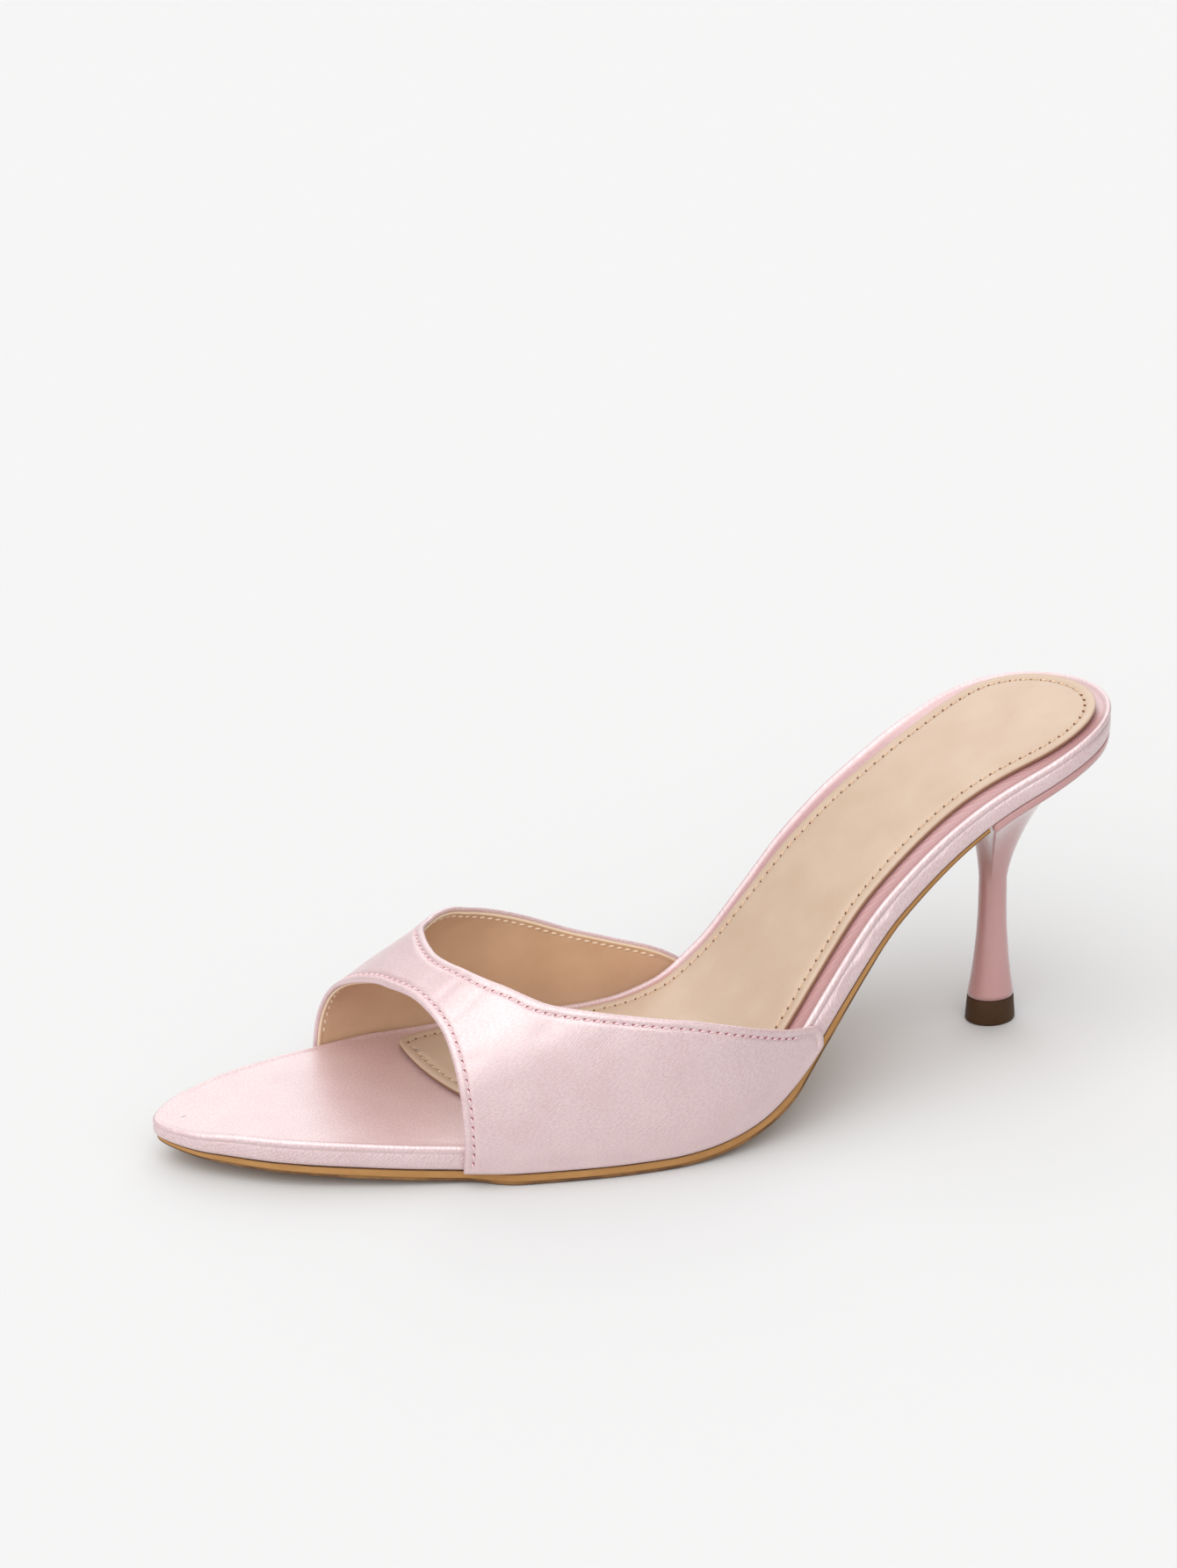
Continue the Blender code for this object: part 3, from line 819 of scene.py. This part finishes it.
def on_band(x, girth):
    """The band's inside at x. Its sides rise from the footbed's edges to the ridge, or lap the edges."""
    sign = -1 if girth > 0 else 1
    reach = abs(girth)
    edge = side(x, sign) + sign * CLEARANCE
    if reach > 1:
        return on_bed(x, edge, bed_depth(x, 1) * (reach - 1) / LAP_GIRTH)
    fullness = OUTER_FULLNESS if sign > 0 else INNER_FULLNESS
    turn = math.pi / 2 * (1 - reach)
    foot = on_bed(x, edge, 0)
    ridge = on_bed(x, RIDGE_SHIFT, 0).z + INSTEP_HEIGHT * ridge_share(x / LENGTH)
    y = RIDGE_SHIFT + (edge - RIDGE_SHIFT) * math.cos(turn) ** (1 / fullness)
    return Vector((x, y, foot.z + (ridge - foot.z) * math.sin(turn) ** (1 / fullness)))


def band_frame(x, girth):
    """The band's inside at x, its way along the shoe there and its way outwards."""
    here = on_band(x, girth)
    ahead = on_band(x + AHEAD_STEP, girth) - on_band(x - AHEAD_STEP, girth)
    low, high = max(girth - GIRTH_STEP, -1 - LAP_GIRTH), min(girth + GIRTH_STEP, 1 + LAP_GIRTH)
    around = on_band(x, high) - on_band(x, low)
    outwards = around.cross(ahead).normalized()
    if outwards.dot(Vector((0, here.y - RIDGE_SHIFT, 0.02))) < 0:
        outwards = -outwards
    return here, ahead / (2 * AHEAD_STEP), outwards


GIRTHS = [-1 - LAP_GIRTH + (2 + 2 * LAP_GIRTH) * i / BAND_COLUMNS for i in range(BAND_COLUMNS + 1)]


def edge_pace(edge):
    """How far to go along the shoe, girth by girth, for each metre that a line keeps from an edge of the band."""
    line = [band_frame(LENGTH * edge(girth), girth) for girth in GIRTHS]
    paces = []
    for i, (here, ahead, outwards) in enumerate(line):
        before, after = line[max(i - 2, 0)][0], line[min(i + 2, BAND_COLUMNS)][0]
        along_edge = (after - before).normalized()
        inwards = outwards.cross(along_edge).normalized()
        paces.append(1 / max(abs(ahead.dot(inwards)), LEAST_PACE))
    for _ in range(3):
        paces = [sum(paces[max(i - 2, 0):i + 3]) / len(paces[max(i - 2, 0):i + 3]) for i in range(len(paces))]
    return paces


front_pace, back_pace = edge_pace(band_front), edge_pace(band_back)


def band_x(column, end, distance):
    """Where a line that keeps distance from the front or back edge crosses a column."""
    if end == "front":
        return LENGTH * band_front(GIRTHS[column]) - distance * front_pace[column]
    return LENGTH * band_back(GIRTHS[column]) + distance * back_pace[column]


def band_rows(edge_table):
    """Each row's place across the band, from the back edge to the front edge."""
    count = len(edge_table)
    rows = [("back", row[0], k) for k, row in enumerate(edge_table)]
    rows += [("middle", i / BAND_ROWS, count - 1) for i in range(1, BAND_ROWS)]
    rows += [("front", row[0], k) for k, row in reversed(list(enumerate(edge_table)))]
    return rows


def band_line(end, distance, edge_table, out_of):
    """One line of the band from its outer to its inner foot, out_of(x, girth) off the band's inside."""
    line = []
    for column, girth in enumerate(GIRTHS):
        if end == "middle":
            back = band_x(column, "back", edge_table[-1][0])
            front = band_x(column, "front", edge_table[-1][0])
            x = back + (front - back) * distance
        else:
            x = band_x(column, end, distance)
        here, ahead, outwards = band_frame(x, girth)
        line.append(here + outwards * out_of(x, girth))
    return softened(line)


def softened(line):
    """Eases the turn where the band leaves the footbed's edge and goes down its side."""
    foot = round(LAP_GIRTH / (2 + 2 * LAP_GIRTH) * BAND_COLUMNS)
    for _ in range(LAP_EASE_PASSES):
        for middle in (foot, BAND_COLUMNS - foot):
            for i in range(middle - LAP_EASE, middle + LAP_EASE + 1):
                line[i] = line[i] * 0.5 + (line[i - 1] + line[i + 1]) * 0.25
    return line


def lap_close(girth, out, middle):
    """Rounds the band's lower edges, where the cloth turns under the footbed."""
    left = (1 + LAP_GIRTH - abs(girth)) / LAP_GIRTH * BED_THICKNESS / LAP_ROUND
    t = min(max(left, 0), 1)
    return middle + (out - middle) * math.sqrt(1 - (1 - t) ** 2)


def seam_level(row, side_column, plain, girth):
    """How far out a row lies, the seam's groove dying out towards the laps."""
    fade = eased((abs(girth) - SEAM_FADE[0]) / (SEAM_FADE[1] - SEAM_FADE[0]))
    return row[side_column] + (plain - row[side_column]) * (fade if row[0] > SEAM_START else 0)


def shell(edge_table, middle):
    """The closed skin of one layer of the band: its outside from the back to the front, then its inside."""
    rings = []
    for side_column, rows in ((1, band_rows(edge_table)), (2, list(reversed(band_rows(edge_table))))):
        plain = edge_table[-1][side_column]
        for end, distance, k in rows:
            def out_of(x, girth):
                level = seam_level(edge_table[k], side_column, plain, girth)
                return lap_close(girth, level, middle) + crease_relief(x, girth)
            rings.append(band_line(end, distance, edge_table, out_of))
    return rings


def crease_relief(x, girth):
    """How far the soft troughs and ridges of the stretched satin lie under or over the plain band."""
    here = Vector((x, girth * GIRTH_LENGTH))
    relief = 0.0
    for along_a, girth_a, along_b, girth_b, half_width, height in CREASES:
        start = Vector((along_a * LENGTH, girth_a * GIRTH_LENGTH))
        run = Vector((along_b * LENGTH, girth_b * GIRTH_LENGTH)) - start
        share = min(max((here - start).dot(run) / run.length_squared, 0), 1)
        off = (here - start - run * share).length / half_width
        relief += height * math.exp(-off * off)
    return relief


upper = skin("band_satin", shell(SATIN_EDGE, FOLD_MIDDLE),
             lie=lambda column, point: (GIRTHS[column] * GIRTH_LENGTH, point.x))
upper.data.materials.append(satin("band_satin"))
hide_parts("upper")

# The band's lining. Thin tan leather glued inside the satin, cut just short of its folded edges, so that the
# pale raw edge of the leather shows as a fine line.
LINING_EDGE = (
    # distance from the edge, how far out the lining's outside lies, and its inside
    (0.00070, 0.00034, 0.00034),
    (0.00071, 0.00036, -0.00004),
    (0.00110, 0.00037, -0.00012),
    (0.00160, 0.00037, -0.00004),
    (0.00200, 0.00037, 0.00008),
    (0.00240, 0.00037, 0.00000),
    (0.00360, 0.00037, 0.00000),
)
LINING_PALE = (0.640, 0.425, 0.270, 1)
LINING_DEEP = (0.570, 0.365, 0.225, 1)
LINING_CUT = (0.720, 0.560, 0.400, 1)
LINING_MIDDLE = 0.0002
lining_rows = len(band_rows(LINING_EDGE))
lining_cut = [0, 1, *range(lining_rows - 2, lining_rows + 2), 2 * lining_rows - 3, 2 * lining_rows - 2]
lining = skin("band_lining", shell(LINING_EDGE, LINING_MIDDLE), edge_rows=lining_cut)
lining.data.materials.append(leather("lining_leather", LINING_PALE, LINING_DEEP, 0.45, 1300.0))
lining.data.materials.append(leather("lining_cut_edge", LINING_CUT, LINING_CUT, 0.7, 2500.0))

# The seams. Rows of short slanted stitches in pale thread hold the folded edges of the band and the edge of
# the sock, each thread going down into its own small needle hole.
STITCH_PITCH = 0.0022
STITCH_LENGTH = 0.0018
STITCH_WIDTH = 0.00055
STITCH_HEIGHT = 0.00056
STITCH_SLANT = math.radians(14)
HOLE_SIZE = 0.00050
THREAD_RELIEF = 0.00005
THREAD_PINK = (0.86, 0.66, 0.67, 1)
THREAD_PINK_DEEP = (0.62, 0.38, 0.40, 1)
THREAD_TAN = (0.72, 0.54, 0.38, 1)
THREAD_TAN_DEEP = (0.42, 0.25, 0.14, 1)
THREAD_CREAM = (0.84, 0.68, 0.52, 1)
# painted shade: dark colours that stand for the shade down in the needle holes
HOLE_SHADE_PINK = (0.22, 0.075, 0.085, 1)
HOLE_SHADE_TAN = (0.13, 0.055, 0.025, 1)


def seam_line(end, distance, out, girth_limits):
    """Points and outward ways along the band, at a distance from one of its edges."""
    points, ways = [], []
    for column, girth in enumerate(GIRTHS):
        x = band_x(column, end, distance)
        here, ahead, outwards = band_frame(x, girth)
        points.append(here + outwards * (out + crease_relief(x, girth)))
        ways.append(outwards if out > 0.0002 else -outwards)
    low, high = girth_limits
    return [(point, way_out) for point, way_out, girth in zip(softened(points), ways, GIRTHS) if low < girth < high]


def walk(line, pitch):
    """Evenly spaced points along a line, each with its outward way and its way ahead."""
    found = []
    gone, due = 0.0, pitch / 2
    for (a, way_a), (b, way_b) in zip(line, line[1:]):
        length = (b - a).length
        while length > 0 and gone + length >= due:
            t = (due - gone) / length
            found.append((a.lerp(b, t), way_a.lerp(way_b, t).normalized(), (b - a).normalized()))
            due += pitch
        gone += length
    return found


def small_balls(name, places, slant, size, faces, material):
    """Small squashed balls as one piece, one at each place, turned along its line."""
    mesh = bmesh.new()
    for point, outwards, ahead in places:
        aside = outwards.cross(ahead).normalized()
        lengthways = (ahead * math.cos(slant) + aside * math.sin(slant)).normalized()
        aside = outwards.cross(lengthways).normalized()
        turned = Matrix((lengthways, aside, outwards)).transposed().to_4x4()
        placed = Matrix.Translation(point + shoe_place) @ turned @ Matrix.Diagonal((*size, 1))
        bmesh.ops.create_uvsphere(mesh, u_segments=faces[0], v_segments=faces[1], radius=1.0, matrix=placed)
    piece = put(name, mesh)
    piece.data.materials.append(material)


def sew(name, lines, pitch, length, material):
    """Rows of stitches as one piece."""
    places = [place for line in lines for place in walk(line, pitch)]
    size = (length / 2, STITCH_WIDTH / 2, STITCH_HEIGHT / 2)
    small_balls(name, places, STITCH_SLANT, size, (8, 6), material)


def needle_holes(name, lines, pitch, material):
    """Painted shade for the needle holes between the stitches: small dark balls set in them."""
    places = [place for line in lines for place in walk(line, pitch / 2)[1::2]]
    size = (HOLE_SIZE, HOLE_SIZE * 0.8, HOLE_SIZE * 0.35)
    small_balls(name, places, 0.0, size, (6, 4), material)


def twisted_thread(name, pale, deep):
    """Sewing thread, its two strands twisted together."""
    material, tree, shader = plain_material(name)
    where = add(tree, "TexCoord")
    twist = add(tree, "TexWave", {"Vector": where.outputs["Object"], "Scale": 2200.0, "Distortion": 1.0},
                bands_direction="DIAGONAL")
    feed(tree, shader, {
        "Base Color": blend(tree, twist.outputs["Fac"], deep, pale),
        "Normal": relief_of(tree, twist.outputs["Fac"], 0.5, THREAD_RELIEF),
        "Roughness": 0.45,
        "Sheen Weight": 0.2,
    })
    return material


def painted_hole_shade(name, colour):
    """The shade inside a needle hole."""
    material, tree, shader = plain_material(name)
    where = add(tree, "TexCoord")
    lint = speckle(tree, where.outputs["Object"], 2500.0)
    paler = tuple(channel * 1.5 for channel in colour[:3]) + (1,)
    shaded = blend(tree, lint, colour, paler)
    feed(tree, shader, {"Base Color": shaded, "Roughness": 0.95, "Specular IOR Level": 0.1})
    return material


band_seams = [
    seam_line("back", 0.00205, 0.00146, (-1.0, 1.0)),
    seam_line("front", 0.00205, 0.00146, (-1.2, 1.2)),
]
lining_seams = [
    seam_line("back", 0.0020, 0.00002, (-0.98, 0.98)),
    seam_line("front", 0.0020, 0.00002, (-0.98, 0.98)),
]
sew("band_stitches", band_seams, STITCH_PITCH, STITCH_LENGTH,
    twisted_thread("pink_thread", THREAD_PINK, THREAD_PINK_DEEP))
needle_holes("band_needle_hole_shade", band_seams, STITCH_PITCH, painted_hole_shade("pink_hole_shade", HOLE_SHADE_PINK))
sew("lining_stitches", lining_seams, STITCH_PITCH, STITCH_LENGTH * 0.9,
    twisted_thread("cream_thread", THREAD_CREAM, THREAD_TAN))
sock_seams = []
for sign in (1, -1):
    points = sock_line(sign, SOCK_STITCH_INSET, 0.80)
    sock_seams.append([(point, -down(point.x)) for point in points])
sew("sock_stitches", sock_seams, 0.0026, 0.0018, twisted_thread("tan_thread", THREAD_TAN, THREAD_TAN_DEEP))
needle_holes("sock_needle_hole_shade", sock_seams, 0.0026, painted_hole_shade("tan_hole_shade", HOLE_SHADE_TAN))

# The outsole. A thin sheet of tan rubber, bevelled along its lower edge and thinned in the waist, cemented
# under the footbed and the turned-in edge of the band, and ending at the heel's breast.
SOLE_INSET = 0.0008
SOLE_EASE = 0.05
BREAST = 0.038
SOLE_STATIONS = 220
SOLE_SPINE = (0.05, 0.214)
SOLE_SECTION = (
    # inset, share of the way from the top face to the floor face
    (0.00800, 0.00),
    (0.00060, 0.00),
    (0.00025, 0.03),
    (0.00008, 0.10),
    (0.00004, 0.20),
    (0.00000, 0.30),
    (0.00000, 0.52),
    (0.00004, 0.62),
    (0.00020, 0.66),
    (0.00020, 0.70),
    (0.00003, 0.74),
    (0.00010, 0.84),
    (0.00030, 0.93),
    (0.00065, 0.98),
    (0.00120, 1.00),
    (0.00800, 1.00),
)
SOLE_CEMENT_ROWS = 2
# rows of the lower bevel, which take a painted shade
SOLE_BEVEL_ROWS = (8, 13)
SOLE_PALE = (0.455, 0.235, 0.080, 1)
SOLE_DEEP = (0.370, 0.180, 0.055, 1)
# dark colour for the cement, the light wear and the painted shade under the outsole's edge
SOLE_STAIN_AND_PAINTED_SHADE = (0.110, 0.050, 0.020, 1)
STAIN_AND_SHADE_SPREAD = (0.12, 0.5)
# painted shade: how far the turned-under bevel is darkened
BEVEL_PAINTED_SHADE = 0.85
FACE_STAIN = 0.15


def band_reach(x, sign):
    """How far the band stands out from the footbed's edge at x, easing to nothing at its two ends."""
    share = x / LENGTH
    from_back = (share - band_back(-sign)) / SOLE_EASE
    from_front = (band_front(-sign) - share) / SOLE_EASE
    return (CLEARANCE + WALL) * eased(from_back) * eased(from_front)


def sole_line(sign, inset, share):
    """One line along the outsole, at an inset from its edge and a share of its thickness down."""
    line = []
    for x in stations(BREAST + CLEARANCE, LENGTH, SOLE_STATIONS):
        edge = edge_point(x, sign, SOLE_INSET - band_reach(x, sign))
        point = drawn_in(edge, inward_way(x, sign), spine_point(x, *SOLE_SPINE, bed_middle), inset)
        point.x = max(point.x, BREAST + CLEARANCE)
        thickness = SOLE_THICKNESS * sole_share(point.x / LENGTH)
        line.append(on_bed(point.x, point.y, bed_depth(point.x, 1) + CLEARANCE + thickness * share))
    return line


rubber_grain, rubber_in, rubber_out = effect_group(
    "rubber_grain",
    (("Vector", "Vector", None), ("Grains", "Float", 1800.0)),
    (("Shade", "Float"), ("Height", "Float")),
)
grains = speckle(rubber_grain, rubber_in.outputs["Vector"], rubber_in.outputs["Grains"], 3.0)
smears = speckle(rubber_grain, rubber_in.outputs["Vector"], 120.0, 4.0, 0.6)
feed(rubber_grain, rubber_out, {"Shade": smears, "Height": grains})


def rubber(name, pale, deep, edge, roughness, specular):
    """Matt moulded rubber with smears and a fine grain, darker where the piece is trimmed: dark cement, light wear
    and painted shade.
    """
    material, tree, shader = plain_material(name)
    where = add(tree, "TexCoord")
    trim = add(tree, "Attribute", attribute_name="trim")
    grain = use_group(tree, rubber_grain, {"Vector": where.outputs["Object"]})
    shade = grain.outputs["Shade"]
    colour = blend(tree, spread_out(tree, shade, *GRAIN_SHADES), deep, pale)
    # dark cement, light wear and painted shade by the trim, broken up by the smears
    stain_and_painted_shade = spread_out(tree, sum_of(tree, trim.outputs["Fac"], shade, "MULTIPLY"), *STAIN_AND_SHADE_SPREAD)
    feed(tree, shader, {
        "Base Color": blend(tree, stain_and_painted_shade, colour, edge),
        "Roughness": spread_out(tree, shade, 0.0, 1.0, roughness - 0.1, roughness + 0.1),
        "Normal": relief_of(tree, grain.outputs["Height"], 0.3, GRAIN_RELIEF),
        "Specular IOR Level": specular,
    })
    return material


sole_outer = [sole_line(1, inset, share) for inset, share in reversed(SOLE_SECTION)]
sole_inner = [sole_line(-1, inset, share) for inset, share in SOLE_SECTION]
sole_rings = closed_rings(sole_outer, sole_inner)
breast_middle = sum((line[0] for line in sole_rings), Vector()) / len(sole_rings)
sole_rings = [[breast_middle] + line for line in sole_rings]


def sole_trim(row, column):
    """Dark cement along the outsole's top edge, painted shade along the bevel under its lower edge, and light wear on
    its faces.
    """
    last = len(SOLE_SECTION) - 1
    k = last - row if row <= last else row - last - BED_ACROSS
    if k <= SOLE_CEMENT_ROWS:
        return 1.0
    # painted shade on the bevel rows, light wear on the faces
    return BEVEL_PAINTED_SHADE if SOLE_BEVEL_ROWS[0] <= k <= SOLE_BEVEL_ROWS[1] else FACE_STAIN


outsole = skin("outsole_rubber", sole_rings, sole_trim)
outsole.data.materials.append(rubber("outsole_rubber", SOLE_PALE, SOLE_DEEP, SOLE_STAIN_AND_PAINTED_SHADE, 0.5, 0.3))
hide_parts("outsole")

# The heel. A moulded stiletto with a gloss dusty pink finish: a shallow cup screwed under the seat, which
# sweeps down into a slim stem with a flared foot.
CUP_INSET = 0.0006
CUP_DEPTH = 0.0019
NECK_HEIGHT = 0.037
NECK_DIAMETER = 0.0069
STEM_DIAMETER = 0.0114
STEM_OVAL = 0.86
TIP_HEIGHT = 0.0064
STEM = (
    # up, swell
    (0.00, 1.00),
    (0.10, 0.78),
    (0.22, 0.56),
    (0.38, 0.33),
    (0.56, 0.14),
    (0.76, 0.03),
    (1.00, 0.00),
)
HEEL_SIDES = 128
STEM_RINGS = 30
FLARE_RINGS = 30
SEAT_RINGS = 6
FLARE_BEND = 1.4
HEEL_PALE = (0.505, 0.270, 0.262, 1)
HEEL_DEEP = (0.450, 0.222, 0.215, 1)
GLOSS_RELIEF = 0.0002
SEAT_PRECISION = 0.00001

swell = curve(STEM, 1)


def seat_reach(turn):
    """How far the seat's edge lies from the stem's middle in a direction, in plan."""
    nearest, furthest = 0.0, BALL_WIDTH
    while furthest - nearest > SEAT_PRECISION:
        reach = (nearest + furthest) / 2
        x = HEEL_PLACE + reach * math.cos(turn)
        y = HEEL_SHIFT + reach * math.sin(turn)
        inside = CUP_INSET < x < BREAST - CUP_INSET
        if inside and side(x, -1) + CUP_INSET < y < side(x, 1) - CUP_INSET:
            nearest = reach
        else:
            furthest = reach
    return nearest


heel_turns = [2 * math.pi * (i % HEEL_SIDES) / HEEL_SIDES for i in range(HEEL_SIDES + 1)]
seat_reaches = [seat_reach(turn) for turn in heel_turns]


def heel_ring(diameter, height):
    """A ring of the stem, an oval that is narrower across the shoe than along it."""
    ring = []
    for turn in heel_turns:
        radius = diameter / 2 * STEM_OVAL / math.hypot(STEM_OVAL * math.cos(turn), math.sin(turn))
        ring.append(Vector((HEEL_PLACE + radius * math.cos(turn), HEEL_SHIFT + radius * math.sin(turn), height)))
    return ring


def seat_ring(scale, depth):
    """A ring under the heel seat, the seat's own outline times scale."""
    ring = []
    for turn, reach in zip(heel_turns, seat_reaches):
        x = HEEL_PLACE + reach * scale * math.cos(turn)
        y = HEEL_SHIFT + reach * scale * math.sin(turn)
        ring.append(on_bed(x, y, bed_depth(x, 1) + depth))
    return ring


stem_foot = TIP_HEIGHT + CLEARANCE
heel_rings = [[Vector((HEEL_PLACE, HEEL_SHIFT, stem_foot))] * (HEEL_SIDES + 1)]
for i in range(STEM_RINGS + 1):
    up = i / STEM_RINGS
    diameter = NECK_DIAMETER + (STEM_DIAMETER - NECK_DIAMETER) * swell(up)
    heel_rings.append(heel_ring(diameter, stem_foot + (NECK_HEIGHT - stem_foot) * up))
neck, cup_rim = heel_rings[-1], seat_ring(1, CLEARANCE + CUP_DEPTH)
for i in range(1, FLARE_RINGS + 1):
    turn = math.pi / 2 * i / FLARE_RINGS
    out, up = 1 - math.cos(turn) ** FLARE_BEND, math.sin(turn) ** FLARE_BEND
    ring = []
    for low, high in zip(neck, cup_rim):
        plan = low + (high - low) * out
        ring.append(Vector((plan.x, plan.y, low.z + (high.z - low.z) * up)))
    heel_rings.append(ring)
heel_rings.append(seat_ring(1.004, CLEARANCE + CUP_DEPTH * 0.7))
heel_rings.append(seat_ring(1.004, CLEARANCE + CUP_DEPTH * 0.25))
for i in range(SEAT_RINGS + 1):
    heel_rings.append(seat_ring(1 - i / SEAT_RINGS, CLEARANCE))
heel = skin("heel_moulding", heel_rings)
gloss, gloss_tree, gloss_shader = plain_material("heel_gloss")
gloss_where = add(gloss_tree, "TexCoord")
gloss_ripple = speckle(gloss_tree, gloss_where.outputs["Object"], 420.0)
gloss_shade = speckle(gloss_tree, gloss_where.outputs["Object"], 60.0, 3.0)
feed(gloss_tree, gloss_shader, {
    "Base Color": blend(gloss_tree, gloss_shade, HEEL_DEEP, HEEL_PALE),
    "Roughness": spread_out(gloss_tree, gloss_shade, 0.0, 1.0, 0.16, 0.26),
    "Normal": relief_of(gloss_tree, gloss_ripple, 0.06, GLOSS_RELIEF),
    "Coat Weight": 1.0,
    "Coat Roughness": 0.08,
})
heel.data.materials.append(gloss)
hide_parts("heel")

# The heel's top piece. A short plug of hard dark brown rubber, pinned up into the stem's foot, its floor edge
# eased by wear.
TIP_DIAMETER = 0.0123
TIP_BEVEL = 0.0006
TIP_BROWN = (0.066, 0.031, 0.012, 1)
TIP_BLACK = (0.046, 0.021, 0.008, 1)
tip_mesh = bmesh.new()
bmesh.ops.create_cone(
    tip_mesh, cap_ends=True, segments=96, depth=TIP_HEIGHT, radius1=TIP_DIAMETER / 2, radius2=STEM_DIAMETER / 2,
)
floor_edge = [edge for edge in tip_mesh.edges if all(vert.co.z < 0 for vert in edge.verts)]
bmesh.ops.bevel(
    tip_mesh, geom=floor_edge, offset=TIP_BEVEL, segments=4, profile=0.5, affect="EDGES", material=-1,
)
top_edge = [edge for edge in tip_mesh.edges if all(vert.co.z > TIP_HEIGHT * 0.49 for vert in edge.verts)]
bmesh.ops.bevel(
    tip_mesh, geom=top_edge, offset=TIP_BEVEL / 3, segments=3, profile=0.5, affect="EDGES", material=-1,
)
bmesh.ops.scale(tip_mesh, vec=(1, STEM_OVAL, 1), verts=tip_mesh.verts)
bmesh.ops.translate(tip_mesh, vec=shoe_place + Vector((HEEL_PLACE, HEEL_SHIFT, TIP_HEIGHT / 2)), verts=tip_mesh.verts)
heel_tip = put("heel_top_piece", tip_mesh)
heel_tip.data.materials.append(rubber("tip_rubber", TIP_BROWN, TIP_BLACK, TIP_BLACK, 0.5, 0.2))
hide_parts("heel_tip")
